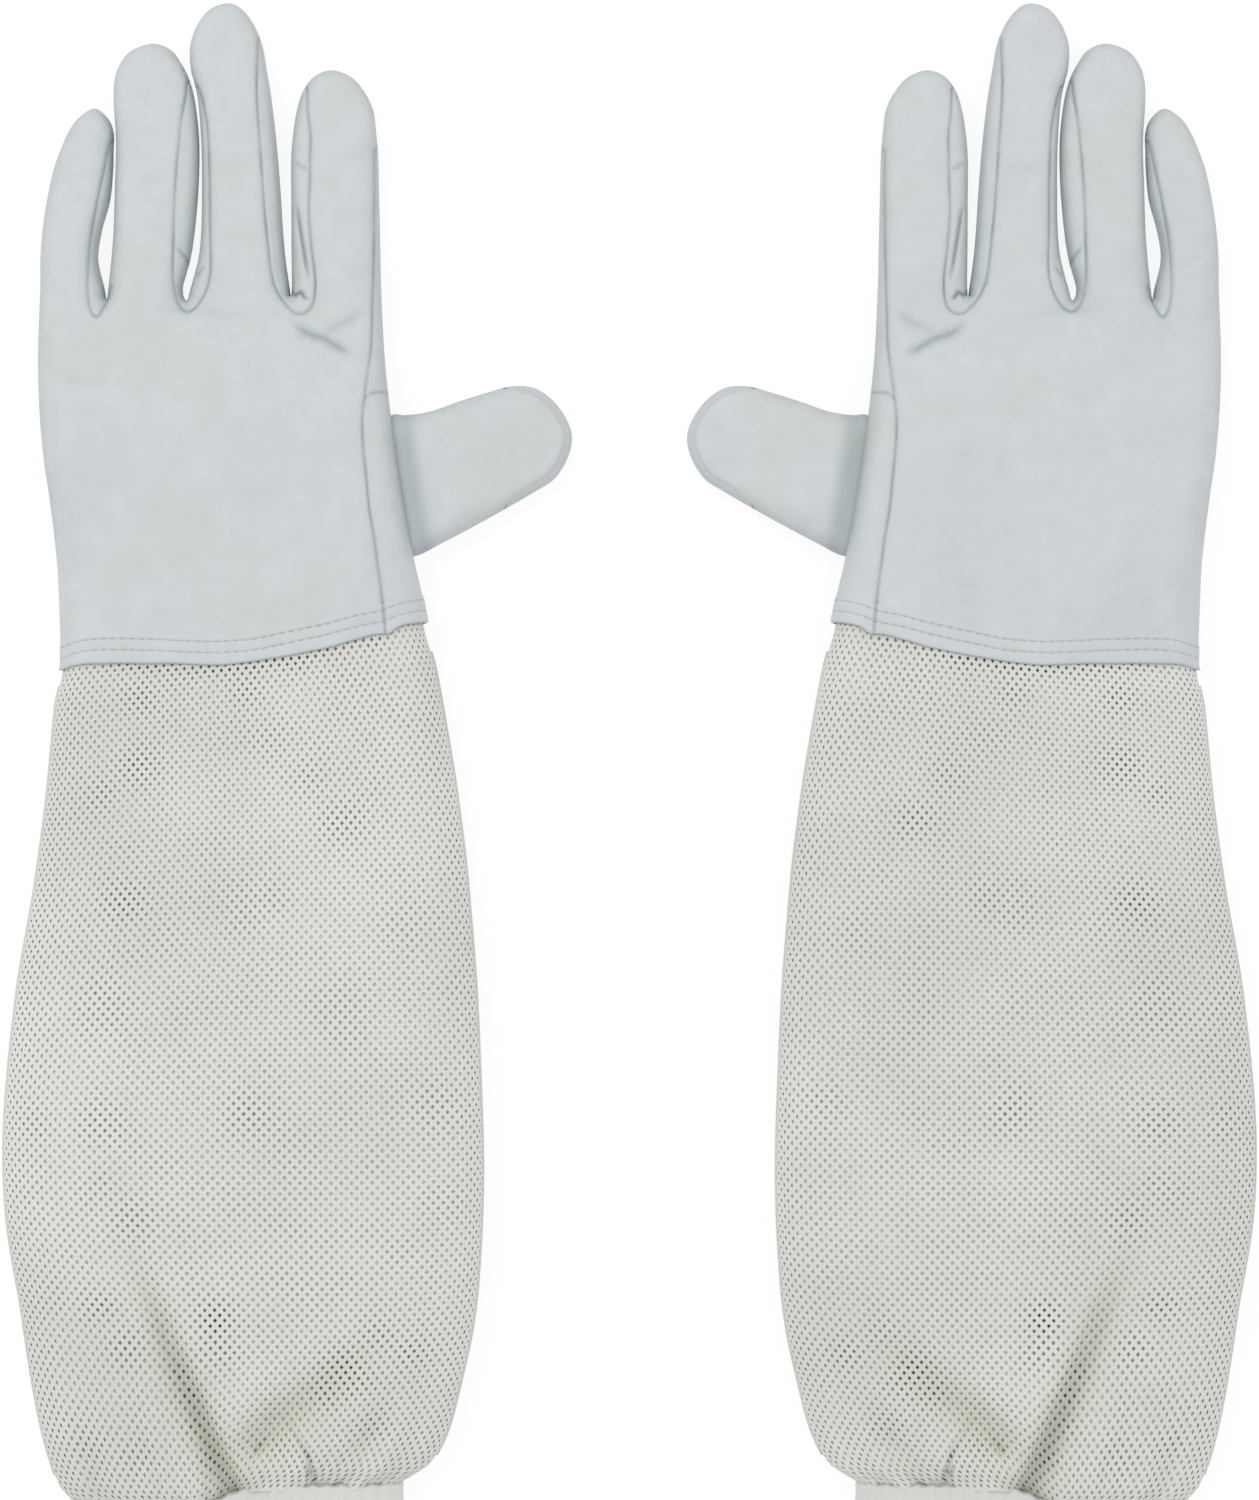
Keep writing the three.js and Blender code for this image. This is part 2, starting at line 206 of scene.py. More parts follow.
CREASES = [  # (points, depth, width, painted shade) of the wrinkles on the back of the hand
    ([(26.9, -5.7), (30.9, -9.5), (34.5, -11.5), (39.1, -13), (44.6, -16.2), (50.6, -19.2)], 0.9, 1.5, 0.5),
    ([(37.2, -12), (41.1, -9.8), (45.6, -7.7), (49.6, -5.3), (53, -2.5)], 0.5, 1.7, 0.22),
    ([(-21, -3.7), (-12.1, -2.5), (-3.1, -3.3), (8.8, -5.5), (16.8, -4.5)], 0.3, 2.0, 0.09),
    ([(28.7, 35.9), (29.1, 33.5), (30.8, 22.9), (32.6, 12.5), (34.1, 5)], 0.8, 0.8, 0.8),
    ([(25.7, 5.3), (27.1, 4.1), (28.8, 2.3), (30.8, 3), (32.1, 1.3), (34.3, 0.1)], 0.9, 0.75, 0.9),
    ([(-11.5, 19), (-9.9, 17.3), (-7.3, 13.4), (-4.5, 9.9)], 0.6, 0.7, 0.5),
    ([(-1.3, 12.2), (-3.1, 10.4), (-4.7, 7.6)], 0.5, 0.6, 0.45),
    ([(27.7, 48.3), (30.2, 45.8), (33.7, 44.4)], 0.5, 0.9, 0.3),
    ([(-51.8, -22.8), (-42.9, -27.7), (-31.9, -28.7)], 0.22, 2.2, 0.05),
    ([(-7.1, -60.5), (6.8, -66.5), (20.7, -64.5), (32.7, -70.5)], 0.2, 3.0, 0.03),
    ([(42.6, 45.8), (48.6, 48.8), (54.5, 48.3)], 0.22, 1.4, 0.05),
    ([(0.9, 42.8), (8.8, 45.3), (15.8, 43.8)], 0.2, 1.5, 0.05),
    ([(-27, 38.8), (-19, 40.8), (-12.1, 39.3)], 0.2, 1.4, 0.05),
]
THUMB_EDGE = [(52, -44), (60.5, -37.6), (66, -37.6), (74, -36.4), (84, -32.9), (94.4, -29.6), (101.8, -27.7),
              (109.8, -28.5), (116.9, -34.0), (121.6, -42.4), (121.2, -50.2), (116.5, -58.6), (109.2, -63.6),
              (94.4, -72.2), (78.8, -80.6), (68.3, -85.4), (58, -84)]
THUMB_ROOT_X = 62.0
KNUCKLE_HEIGHT, PALM_RISE = 17.5, 4.3  # the hand's height at the knuckles, and what the palm adds to it
TIP_HEIGHT = 9.5
FINGER_TAPER = 1.7  # how late a finger's height falls off towards its tip


def glove_height(p):
    """The leather hand's whole height over each point: full at the palm and low at the fingertips."""
    x, y = p[:, 0], p[:, 1]
    height = KNUCKLE_HEIGHT + PALM_RISE * smoothstep(0, -42, y)
    nearest = np.full(len(p), np.inf)
    for name in ORDER:
        rows = np.array(FINGER_EDGES[name], float)
        left, right = (np.interp(y, rows[:, 0], rows[:, k]) for k in (1, 2))
        tip = FINGER_TIPS[name][1]
        outside = np.maximum(0, np.maximum(left - x, x - right))
        mine = (y > 0) & (y < tip + 1) & (outside < nearest)
        nearest[mine] = outside[mine]
        rise = 1 - np.clip(y / tip, 0, 1) ** FINGER_TAPER
        height[mine] = TIP_HEIGHT + (KNUCKLE_HEIGHT - TIP_HEIGHT) * rise[mine]
    return height


def edge_at(table, y):
    """The x of a plan line at y."""
    rows = sorted((b, a) for a, b in table)
    return np.interp(y, [r[0] for r in rows], [r[1] for r in rows])


def rounded(d, radius, power=2.15):
    """From 0 at the edge to 1 where the surface is flat, as a rounded edge rises."""
    u = 1 - np.clip(d / radius, 0, 1)
    return (1 - u**power) ** (1 / power)


def hand_outline(step):
    path = list(OUTER_EDGE)
    for n, name in enumerate(ORDER):
        rows = FINGER_EDGES[name]
        path += [(left, y) for y, left, right in rows]
        path.append(FINGER_TIPS[name])
        path += [(right, y) for y, left, right in reversed(rows)]
        if n + 1 < len(ORDER):
            after = ORDER[n + 1]
            x = (rows[0][2] + FINGER_EDGES[after][0][1]) / 2
            path.append((x, CROTCHES[(name, after)]))
    path += INNER_EDGE
    return catmull(path, step)


def hand_section(p, d):
    """The heights of the hand's upper and lower surfaces over each point, d from its edge."""
    height = glove_height(p)
    top = height / 2 + height / 2 * rounded(d, height * 0.52)
    low = height / 2 - height / 2 * rounded(d, height * 0.56)
    return top, low


def under_finger(name):
    """The seams along a finger's outer and inner sides on the palm side, both from its root to its tip."""
    outer, inner = [], []
    tip = FINGER_TIPS[name][1]
    for y, left, right in FINGER_EDGES[name][:-1]:
        fade = smoothstep(tip - 4, tip - 22, y)
        outer.append((left + UNDER_INSET * fade - 0.2, y))
        inner.append((right - UNDER_INSET * fade + 0.2, y))
    return outer, inner


def under_seams():
    """The seams on the palm side: along each finger's sides and round the crotches."""
    lines = []
    for a, b in zip(ORDER[:-1], ORDER[1:]):
        x = (FINGER_EDGES[a][0][2] + FINGER_EDGES[b][0][1]) / 2
        crotch = (x, CROTCHES[(a, b)] - UNDER_INSET - 0.6)
        lines.append(under_finger(a)[1][::-1] + [crotch] + under_finger(b)[0])
    side = under_finger("index")[1][::-1]
    side += [(x - UNDER_INSET - 0.6, y) for x, y in INNER_EDGE]
    x, y = INNER_EDGE[-1]
    side.append((x - UNDER_INSET - 0.4, y - 4))
    lines.append(side)
    return lines


# ---- Meshes ----------------------------------------------------------------------------


def make_object(name, verts, faces, material, normals=None, fields=None, corners=None):
    """An object from millimetre vertices. It may have its own vertex normals, float fields, and a
    place in its bake's map for each corner of each face."""
    me = bpy.data.meshes.new(name)
    me.from_pydata((np.asarray(verts) * MM).tolist(), [], [list(map(int, f)) for f in faces])
    for key, value in (fields or {}).items():
        me.attributes.new(key, "FLOAT", "POINT").data.foreach_set("value", np.asarray(value, np.float32))
    if corners is not None:
        me.uv_layers.new(name="OFBake").data.foreach_set("uv", np.asarray(corners, np.float32).ravel())
    me.update()
    me.shade_smooth()
    if normals is not None:
        me.normals_split_custom_set_from_vertices(np.asarray(normals).tolist())
    o = bpy.data.objects.new(name, me)
    bpy.context.scene.collection.objects.link(o)
    me.materials.append(material)
    return o


def vertex_normals(verts, tris):
    v = np.asarray(verts)
    f = np.asarray(tris)
    n = np.cross(v[f[:, 1]] - v[f[:, 0]], v[f[:, 2]] - v[f[:, 0]])
    out = np.zeros_like(v)
    for k in range(3):
        np.add.at(out, f[:, k], n)
    length = np.linalg.norm(out, axis=1, keepdims=True)
    return out / np.maximum(length, 1e-12)


def boundary_edges(tris):
    """Directed edges that only one triangle has."""
    f = np.asarray(tris)
    e = np.vstack([f[:, [0, 1]], f[:, [1, 2]], f[:, [2, 0]]])
    key = np.sort(e, 1)
    _, index, count = np.unique(key, axis=0, return_index=True, return_counts=True)
    return e[index[count == 1]]


def shell(verts, tris, normals, thickness):
    """A closed solid from part of a surface: the surface, a copy inside it, and the edge between them."""
    used = np.unique(tris)
    back = np.full(len(verts), -1)
    back[used] = np.arange(len(used))
    v, n = verts[used], normals[used]
    t = back[np.asarray(tris)]
    count = len(used)
    faces = [tuple(f) for f in t] + [(f[0] + count, f[2] + count, f[1] + count) for f in t]
    faces += [(a, a + count, b + count, b) for a, b in boundary_edges(t)]
    return np.vstack([v, v - n * thickness]), faces, used, np.vstack([n, -n])


ROW_GAP, CROWD_GAP = 0.34, 0.36  # the least distances between points of the plan


class Plan:
    """A flat piece of the glove cut into triangles, with seams and the edge as exact edges."""

    def __init__(self, outline, edge, lines, spacing, rows=(0.35, 1.3, 2.9, 4.8, 7.0), extra=()):
        """edge is the polyline that the rounded part of the outline lies on."""
        points = [tuple(p) for p in outline]
        edges = [(i, (i + 1) % len(outline)) for i in range(len(outline))]
        line_of = {}
        for name, line in lines.items():
            start = len(points)
            points += [tuple(p) for p in line]
            for i in range(len(line) - 1):
                line_of[len(edges)] = name
                edges.append((start + i, start + i + 1))
        # rows beside the edge and beside each seam, the creases, and a lattice over the rest
        more = [self.beside(edge, d, 0.97) for d in rows]
        for line in lines.values():
            more += [self.beside(line, d, 0.95) for d in (-0.42, 0.42, -0.95, 0.95, -1.9, 1.9)]
        more += [np.asarray(q) for q in extra]
        low, high = outline.min(0), outline.max(0)
        rise = spacing * 0.866
        nx = int((high[0] - low[0]) / spacing) + 2
        ny = int((high[1] - low[1]) / rise) + 2
        gx, gy = np.meshgrid(np.arange(nx), np.arange(ny))
        lattice = np.stack([low[0] + (gx + 0.5 * (gy % 2)) * spacing, low[1] + gy * spacing * 0.866], -1)
        cloud = np.array(points)
        for q in more:
            q = q[inside(q, outline)]
            cloud = np.vstack([cloud, self.thinned(self.apart(q, cloud, ROW_GAP))])
        q = lattice.reshape(-1, 2)
        cloud = np.vstack([cloud, self.apart(q[inside(q, outline)], cloud, 0.62 * spacing)])
        verts, out_edges, faces, _, from_edges, _ = delaunay_2d_cdt(
            [Vector(p) for p in cloud.tolist()], edges, [], 0, 1e-5, True
        )
        self.points = np.array([(v.x, v.y) for v in verts])
        tris = np.array([f for f in faces if len(f) == 3])
        centre = self.points[tris].mean(1)
        tris = tris[inside(centre, outline)]
        a, b, c = (self.points[tris[:, k]] for k in range(3))
        area = (b[:, 0] - a[:, 0]) * (c[:, 1] - a[:, 1]) - (b[:, 1] - a[:, 1]) * (c[:, 0] - a[:, 0])
        tris[area < 0] = tris[area < 0][:, ::-1]
        self.tris = tris[np.abs(area) > 1e-7]
        self.tagged = {}
        for k, origin in enumerate(from_edges):
            names = {line_of[o] for o in origin if o in line_of}
            if names:
                self.tagged[tuple(sorted(out_edges[k]))] = names
        self.distance = distance_to(self.points, edge)[0]
        self.on_edge = self.distance < 1e-3
        self.tris = self.tris[~self.on_edge[self.tris].all(1)]  # no slivers right along the edge

    @staticmethod
    def beside(line, d, share):
        """A row of points at d to the right of a line, where no other part of the line is nearer."""
        q = line + to_right(line) * d
        return q[distance_to(q, line)[0] > abs(d) * share]

    @staticmethod
    def apart(q, cloud, gap):
        """The points of q that are further than gap from the cloud."""
        tree = point_tree(cloud)
        good = [p for p in q if tree.find((p[0], p[1], 0))[2] > gap]
        return np.array(good).reshape(-1, 2)

    @staticmethod
    def thinned(q):
        """The points of q without those that crowd an earlier one."""
        tree = point_tree(q)
        dropped = set()
        for n, p in enumerate(q):
            if n not in dropped:
                dropped |= {m for _, m, _ in tree.find_range((p[0], p[1], 0), CROWD_GAP) if m > n}
        return q[[n for n in range(len(q)) if n not in dropped]]

    def regions(self, cut_by, labels):
        """A name for each triangle: the label in the same region, when cut_by's lines part them."""
        edge_of = {}
        for t, f in enumerate(self.tris):
            for k in range(3):
                edge_of.setdefault(tuple(sorted((f[k], f[(k + 1) % 3]))), []).append(t)
        region = np.full(len(self.tris), -1)
        neighbours = [[] for _ in self.tris]
        for e, ts in edge_of.items():
            if len(ts) == 2 and not (self.tagged.get(e, set()) & cut_by):
                neighbours[ts[0]].append(ts[1])
                neighbours[ts[1]].append(ts[0])
        count = 0
        for t in range(len(self.tris)):
            if region[t] >= 0:
                continue
            stack = [t]
            region[t] = count
            while stack:
                for m in neighbours[stack.pop()]:
                    if region[m] < 0:
                        region[m] = count
                        stack.append(m)
            count += 1
        centre = self.points[self.tris].mean(1)
        names = {}
        for name, spot in labels:
            near = ((centre - np.array(spot)) ** 2).sum(1).argmin()
            names.setdefault(int(region[near]), name)
        # scraps with no label join the nearest labelled triangle's piece
        out = np.array([names.get(int(r), "") for r in region], object)
        known = np.nonzero(out != "")[0]
        tree = point_tree(centre[known])
        for t in np.nonzero(out == "")[0]:
            out[t] = out[known[tree.find((*centre[t], 0))[1]]]
        return out


# ---- Materials -------------------------------------------------------------------------


class Nodes:
    """A material's nodes, made and joined in short calls."""

    def __init__(self, name):
        self.material = bpy.data.materials.new(name)
        self.material.use_nodes = True
        self.tree = self.material.node_tree
        self.shader = self.tree.nodes["Principled BSDF"]
        self.coordinates = None

    def add(self, kind, **settings):
        node = self.tree.nodes.new(kind)
        for key, value in settings.items():
            if key.startswith("in_"):
                name = key[3:].replace("_", " ")
                node.inputs[int(name) if name.isdigit() else name].default_value = value
            else:
                setattr(node, key, value)
        return node

    def link(self, source, into):
        """Joins a node's main output to a socket."""
        outputs = source.outputs
        if source.bl_idname == "ShaderNodeMix":
            out = outputs[2]  # its colour
        else:
            out = next((outputs[name] for name in ("Fac", "Distance") if name in outputs), outputs[0])
        self.tree.links.new(out, into)

    def texture(self, kind, **settings):
        """A texture in the piece's own coordinates."""
        node = self.add(kind, **settings)
        if self.coordinates is None:
            self.coordinates = self.add("ShaderNodeTexCoord")
        self.tree.links.new(self.coordinates.outputs["Object"], node.inputs["Vector"])
        return node

    def noise(self, scale, detail, roughness, distortion=0.0):
        return self.texture("ShaderNodeTexNoise", in_Scale=scale, in_Detail=detail, in_Roughness=roughness,
                            in_Distortion=distortion)

    def field(self, name):
        """A float field of the mesh."""
        return self.add("ShaderNodeAttribute", attribute_name=name)

    def ramp(self, source, stops):
        node = self.add("ShaderNodeValToRGB")
        while len(node.color_ramp.elements) < len(stops):
            node.color_ramp.elements.new(0.5)
        for element, (place, colour) in zip(node.color_ramp.elements, stops):
            element.position = place
            element.color = (*colour, 1)
        self.link(source, node.inputs[0])
        return node

    def put(self, value, socket):
        """A node's output, or a plain value, into a socket."""
        if isinstance(value, bpy.types.Node):
            self.link(value, socket)
        else:
            socket.default_value = (*value, 1) if isinstance(value, tuple) else value

    def mix(self, factor, a, b, blend="MIX"):
        node = self.add("ShaderNodeMix", data_type="RGBA", blend_type=blend)
        for value, socket in ((a, 6), (b, 7), (factor, 0)):
            self.put(value, node.inputs[socket])
        return node

    def maths(self, operation, a, b):
        node = self.add("ShaderNodeMath", operation=operation)
        self.put(a, node.inputs[0])
        self.put(b, node.inputs[1])
        return node

    def bump(self, height, strength, distance, under=None):
        node = self.add("ShaderNodeBump", in_Strength=strength, in_Distance=distance)
        self.link(height, node.inputs["Height"])
        if under is not None:
            self.link(under, node.inputs["Normal"])
        self.link(node, self.shader.inputs["Normal"])
        return node

    def finish(self, colour, roughness, specular, sheen, sheen_roughness):
        """The shader's own values."""
        inputs = self.shader.inputs
        self.link(colour, inputs["Base Color"])
        self.link(roughness, inputs["Roughness"])
        inputs["Specular IOR Level"].default_value = specular
        inputs["Sheen Weight"].default_value = sheen
        inputs["Sheen Roughness"].default_value = sheen_roughness
        return self.material

    def to_range(self, source, low, high):
        """The middle of a noise's range, 0.3 to 0.7, spread from low to high."""
        node = self.add("ShaderNodeMapRange", in_From_Min=0.3, in_From_Max=0.7, in_To_Min=low, in_To_Max=high)
        self.link(source, node.inputs["Value"])
        return node


def srgb(r, g, b):
    """8-bit screen values as the linear colour a shader takes."""
    return tuple(((c / 255 + 0.055) / 1.055) ** 2.4 if c > 10 else c / 255 / 12.92 for c in (r, g, b))


# the colour of the seam lines, and of the shade painted into creases, along rounded edges, at the thumb's
# root and under the hem's edge
SEAM_AND_SHADE_GREY = srgb(112, 121, 130)


def leather_material():
    m = Nodes("pale_leather")
    patches = m.noise(26, 3, 0.55)
    tone = m.ramp(patches, [(0.33, srgb(192, 198, 201)), (0.5, srgb(197, 203, 205)),
                            (0.68, srgb(194, 200, 198))])
    mottled = m.noise(160, 4, 0.6)
    fine = m.ramp(mottled, [(0.3, (0.94, 0.94, 0.94)), (0.7, (1, 1, 1))])
    colour = m.mix(1.0, tone, fine, "MULTIPLY")
    # seam lines and painted shade, from the "shade" field
    colour = m.mix(m.field("shade"), colour, SEAM_AND_SHADE_GREY)
    pebbles = m.texture("ShaderNodeTexVoronoi", feature="F1", in_Scale=1150.0)
    wrinkle = m.noise(420, 5, 0.62, distortion=0.6)
    grain = m.bump(pebbles, 0.18, 0.0002)
    m.bump(wrinkle, 0.26, 0.00035, under=grain)
    return m.finish(colour, m.to_range(mottled, 0.5, 0.68), 0.4, 0.05, 0.5)


def cloth_material(name, colour, dark, scale, strength, patch_scale=18, patch=0.25, sheen=0.15, painted_shade_colour=None):
    """A knitted or woven fabric: fine crossing threads in its bump, soft patches in its colour."""
    m = Nodes(name)
    patches = m.noise(patch_scale, 3, 0.55)
    spread = m.ramp(patches, [(0.38, (0, 0, 0)), (0.66, (1, 1, 1))])
    weight = m.maths("MULTIPLY", spread, patch)
    tone = m.mix(weight, colour, dark)
    # a brownish painted shade along the sleeve's folds
    tone = m.mix(m.field("fold_shade_tint"), tone, FOLD_SHADE_COLOUR)
    # painted shade from the "shade" field: along the sleeve's folds, seen through the net's holes, and as a
    # shadow line at the casing's upper edge
    tone = m.mix(m.field("shade"), tone, painted_shade_colour or dark)
    one, two = (
        m.texture("ShaderNodeTexWave", wave_type="BANDS", bands_direction=way, in_Scale=size,
                  in_Distortion=bent)
        for way, size, bent in (("DIAGONAL", scale, 0.6), ("X", scale * 1.3, 0.8))
    )
    fuzz = m.noise(900, 3, 0.6)
    lumps = m.bump(m.maths("ADD", one, two), strength, 0.0003)
    m.bump(fuzz, 0.2, 0.0002, under=lumps)
    return m.finish(tone, m.to_range(fuzz, 0.78, 0.95), 0.25, sheen, 0.6)


FOLD_SHADE_COLOUR = srgb(186, 179, 150)  # the brownish painted shade in the sleeve's deepest folds
MATERIAL = {
    "leather": leather_material(),
    "net": cloth_material("white_net", srgb(217, 218, 212), srgb(204, 204, 198), 700, 0.35, 14, 0.6,
                          painted_shade_colour=srgb(150, 151, 147)),
    "spacer": cloth_material("spacer_mesh", srgb(228, 229, 222), srgb(208, 208, 201), 380, 0.6, 30, 0.8, 0.05,
                             painted_shade_colour=srgb(52, 54, 52)),
    "lining": cloth_material("lining_net", srgb(206, 207, 200), srgb(176, 175, 168), 520, 0.6, 14, 0.5),
    "casing": cloth_material("casing_fabric", srgb(214, 215, 210), srgb(200, 200, 196), 900, 0.3, 20, 0.4,
                             painted_shade_colour=srgb(120, 121, 120)),
    "elastic": cloth_material("elastic_band", srgb(226, 226, 222), srgb(190, 190, 186), 300, 0.9, 20, 0.3),
    "thread": cloth_material("sewing_thread", srgb(205, 211, 213), srgb(193, 199, 201), 1500, 0.6, 60, 0.4,
                             0.3),
}

# ---- Where the gloves are --------------------------------------------------------------

JOINTS = {j["name"]: j for j in frame["joints"]}
INDEX_ROOT_X = 43.0  # of the index finger's hinge, in the plan


class Glove:
    """One glove's side, its place and its mirror."""

    def __init__(self, side, seed):
        self.side, self.seed = side, seed
        self.mirror = 1 if side == "left" else -1
        x, y, _ = JOINTS[f"{side}_index_curl"]["pos_m"]
        self.x0 = x / MM - self.mirror * INDEX_ROOT_X
        self.y0 = y / MM

    def place(self, v):
        v = np.asarray(v, float)
        return np.stack([self.x0 + self.mirror * v[..., 0], self.y0 + v[..., 1], v[..., 2] + LIFT], -1)

    def turn(self, n):
        n = np.array(n, float)
        n[..., 0] *= self.mirror
        return n

    def add(self, name, verts, faces, material, slot, normals=None, fields=None, ride="hand", replaces=(),
            corners=None):
        if self.mirror < 0:
            faces = [tuple(reversed(f)) for f in faces]
        verts = np.array(verts, float)
        verts[:, 2] = np.maximum(verts[:, 2], 0)
        o = make_object(f"{self.side}_{name}_look", self.place(verts), faces, MATERIAL[material],
                        None if normals is None else self.turn(normals), fields, corners)
        if replaces:
            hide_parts(*[f"{self.side}_{n}" for n in replaces])
        if ride:
            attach(o, f"{self.side}_{ride}")
        return o

    def bend(self, o, body, start, end):
        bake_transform(o)


# ---- The leather hand ------------------------------------------------------------------

OUTLINE_STEP = 1.3
SLANT = math.radians(6.84)  # of the wrist seam
WRIST_CENTRE = np.array([11.2, -115.85])
WRIST_ACROSS = np.array([math.cos(SLANT), math.sin(SLANT)])
WRIST_UP = np.array([-math.sin(SLANT), math.cos(SLANT)])
HEM_SAG = [  # (x, height) of the leather's lower edge against a straight line
    (-56, -1.7), (-50.4, -1.7), (-45, -0.4), (-39.3, 0.1), (-29.5, -0.9), (-17.2, -2.7), (-8.3, -4.3),
    (2.1, -5.9), (14.8, -6.5), (27.5, -5.3), (40.1, -4.2), (49.3, -2.7), (54.6, -2.4), (59, -2.2),
    (64, -0.4), (73.4, 0.3), (80, 0.3),
]
HEM_JOIN = 7.0  # the hand's panels end this far above the leather's lower edge, under the hem
HAND_EDGE = hand_outline(OUTLINE_STEP)
SEAM_WANDER = Noise(5, 11)


def above_wrist(p):
    return (np.asarray(p) - WRIST_CENTRE) @ WRIST_UP


def sag(x):
    """How far the leather's lower edge is above a straight line, at x."""
    return smoothed(HEM_SAG, 1, x, (-2.5, -0.8, 0.8, 2.5))


def edge_crossings(up):
    """Where the hand's outer and inner edges are this far above the leather's lower edge."""
    height = above_wrist(HAND_EDGE)
    found = []
    for step in (1, -1):
        edge, h = HAND_EDGE[::step], height[::step]
        n = max(1, int(np.argmax(h > up)))
        t = (up - h[n - 1]) / (h[n] - h[n - 1])
        found.append(edge[n - 1] + t * (edge[n] - edge[n - 1]))
    return found


def wrist_line(a, b, step):
    n = int(np.linalg.norm(np.subtract(b, a)) / step)
    return np.linspace(a, b, n + 1)[1:-1]


def wandering(line):
    """A sewn line with the slight unevenness of hand-guided sewing."""
    x, y = line[:, 0], line[:, 1]
    return line + 0.22 * np.stack([SEAM_WANDER(x, y), SEAM_WANDER(y, x)], -1)


def meeting_edge(line, reach=2.0, clear=1.0):
    """The line with its ends drawn to corners of the hand's edge, or on past the wrist."""
    line = line[(distance_to(line, HAND_EDGE)[0] > clear) & inside(line, HAND_EDGE)]
    ends = []
    for end, before in ((line[0], line[2]), (line[-1], line[-3])):
        onward = (end - before) / np.linalg.norm(end - before) * reach
        if end[1] > SPLIT_Y:
            ends.append(HAND_EDGE[((HAND_EDGE - (end + onward)) ** 2).sum(1).argmin()])
        else:
            ends.append(end + onward * 3)
    return np.vstack([ends[0], line, ends[1]])


def hand_plan():
    outer, inner = edge_crossings(HEM_JOIN)
    edge = np.vstack([outer, HAND_EDGE[above_wrist(HAND_EDGE) > HEM_JOIN + 0.05], inner])
    wrist = wrist_line(inner, outer, 1.7)
    outline = np.vstack([edge, wrist + sag(wrist[:, :1]) * WRIST_UP])
    lines = {f"top_{k}": meeting_edge(wandering(catmull(v, 1.25))) for k, v in SEAMS.items()}
    lines["top_side"] = meeting_edge(wandering(catmull(SIDE_SEAM, 1.25)))
    for k, line in enumerate(under_seams()):
        lines[f"under_{k}"] = meeting_edge(catmull(line, 1.5))
    lines["split"] = np.stack([np.linspace(-62, 62, 84), np.full(84, SPLIT_Y)], -1)
    extra = []
    for points in [c[0] for c in CREASES] + [CROSS_SEAM]:
        c = catmull(points, 0.9)
        extra += [c] + [c + to_right(c) * d for d in (0.45, -0.45, 1.0, -1.0)]
    return Plan(outline, HAND_EDGE, lines, 1.9, extra=extra), lines


def groove(distance, depth, width, shoulder=0.35):
    """A sewn or creased line's dip, with a low shoulder beside it."""
    bulge = shoulder * depth * bell((distance - 2.4 * width) / (1.3 * width))
    return bulge - depth * bell(distance / width)


def leather_relief(glove, p, edge_distance):
    """Undulation, wrinkles and the shade painted along the creases, over the back of the leather."""
    x, y = p[:, 0], p[:, 1]
    near_hem = smoothstep(-100, -88, y - 0.12 * x)
    broad, close = Noise(glove.seed, 21), Noise(glove.seed + 1, 8.5)
    z = (0.3 * broad(x, y) + 0.1 * close(x, y)) * near_hem * smoothstep(0, 5, edge_distance)
    shade = np.zeros(len(p))
    for points, depth, width, dark in CREASES:
        line = catmull(points, 0.9)
        d, along, _ = distance_to(p, line)
        length = line_length(line)
        ends = smoothstep(0, 0.3 * length, along) * smoothstep(length, 0.7 * length, along)
        z += groove(d, depth, width) * ends * smoothstep(0, 1.2, edge_distance)
        # painted shade along each crease
        shade += dark * bell(d / (0.75 * width)) * ends
    return z, shade


def seam_marks(p, line, edge_distance, uneven):
    """How far a top seam dips the leather and how dark it is, fading where it meets the edge."""
    away = distance_to(p, line)[0]
    fade = smoothstep(0, 2.0, edge_distance)
    dip = (groove(away, 0.5, 0.5, 0.25) - 0.35 * bell(away / 2.8)) * fade
    shade = 0.66 * uneven * bell(away / 0.4) + 0.07 * bell(away / 1.8)
    return dip, shade * (0.35 + 0.65 * fade)


def two_sided(plan, top, low):
    """The vertices of a plan's upper surface and then its lower one, which share the edge, and the
    lower surface's triangles."""
    low[plan.on_edge] = top[plan.on_edge]
    n = len(plan.points)
    lower = np.where(plan.on_edge, np.arange(n), np.arange(n) + n)
    verts = np.vstack([np.column_stack([plan.points, z]) for z in (top, low)])
    return verts, lower[plan.tris][:, ::-1]


DARKEST = 0.8  # the most that a seam line or painted shade darkens the surface
TOP_LABELS = [  # a spot inside each piece on the back of the hand
    ("little_finger_back", (-50, 30)), ("little_inner_strip", (-39.5, 21)),
    ("ring_finger_back", (-23, 40)), ("ring_inner_strip", (-8, 39)),
    ("middle_finger_back", (8, 45)), ("middle_outer_strip", (-2.1, 42)), ("middle_inner_strip", (19.5, 53)),
    ("index_finger_back", (44, 40)), ("index_outer_strip", (30, 45)), ("index_inner_strip", (55.7, 50)),
    ("back_panel", (0, -50)), ("side_panel", (56.6, -5)),
    ("fork_ring_little", (-39, 3)), ("fork_middle_ring", (-10.5, 4)), ("fork_index_middle", (24.8, 4.5)),
]
LOW_LABELS = [  # and on its palm side
    ("little_finger_front", (-50, 30)), ("little_inner_strip", (-39.2, 21)),
    ("ring_outer_strip", (-31, 40)), ("ring_finger_front", (-18, 40)), ("ring_inner_strip", (-6, 40)),
    ("middle_outer_strip", (-1.5, 40)), ("middle_finger_front", (10, 40)), ("middle_inner_strip", (21.3, 40)),
    ("index_outer_strip", (29, 35)), ("index_finger_front", (42, 35)), ("index_inner_strip", (55, 35)),
    ("palm_panel", (0, -50)), ("side_panel", (56.5, -16)),
    ("fork_ring_little", (-38.5, 3)), ("fork_middle_ring", (-10.5, 4)), ("fork_index_middle", (24.5, 4.6)),
]


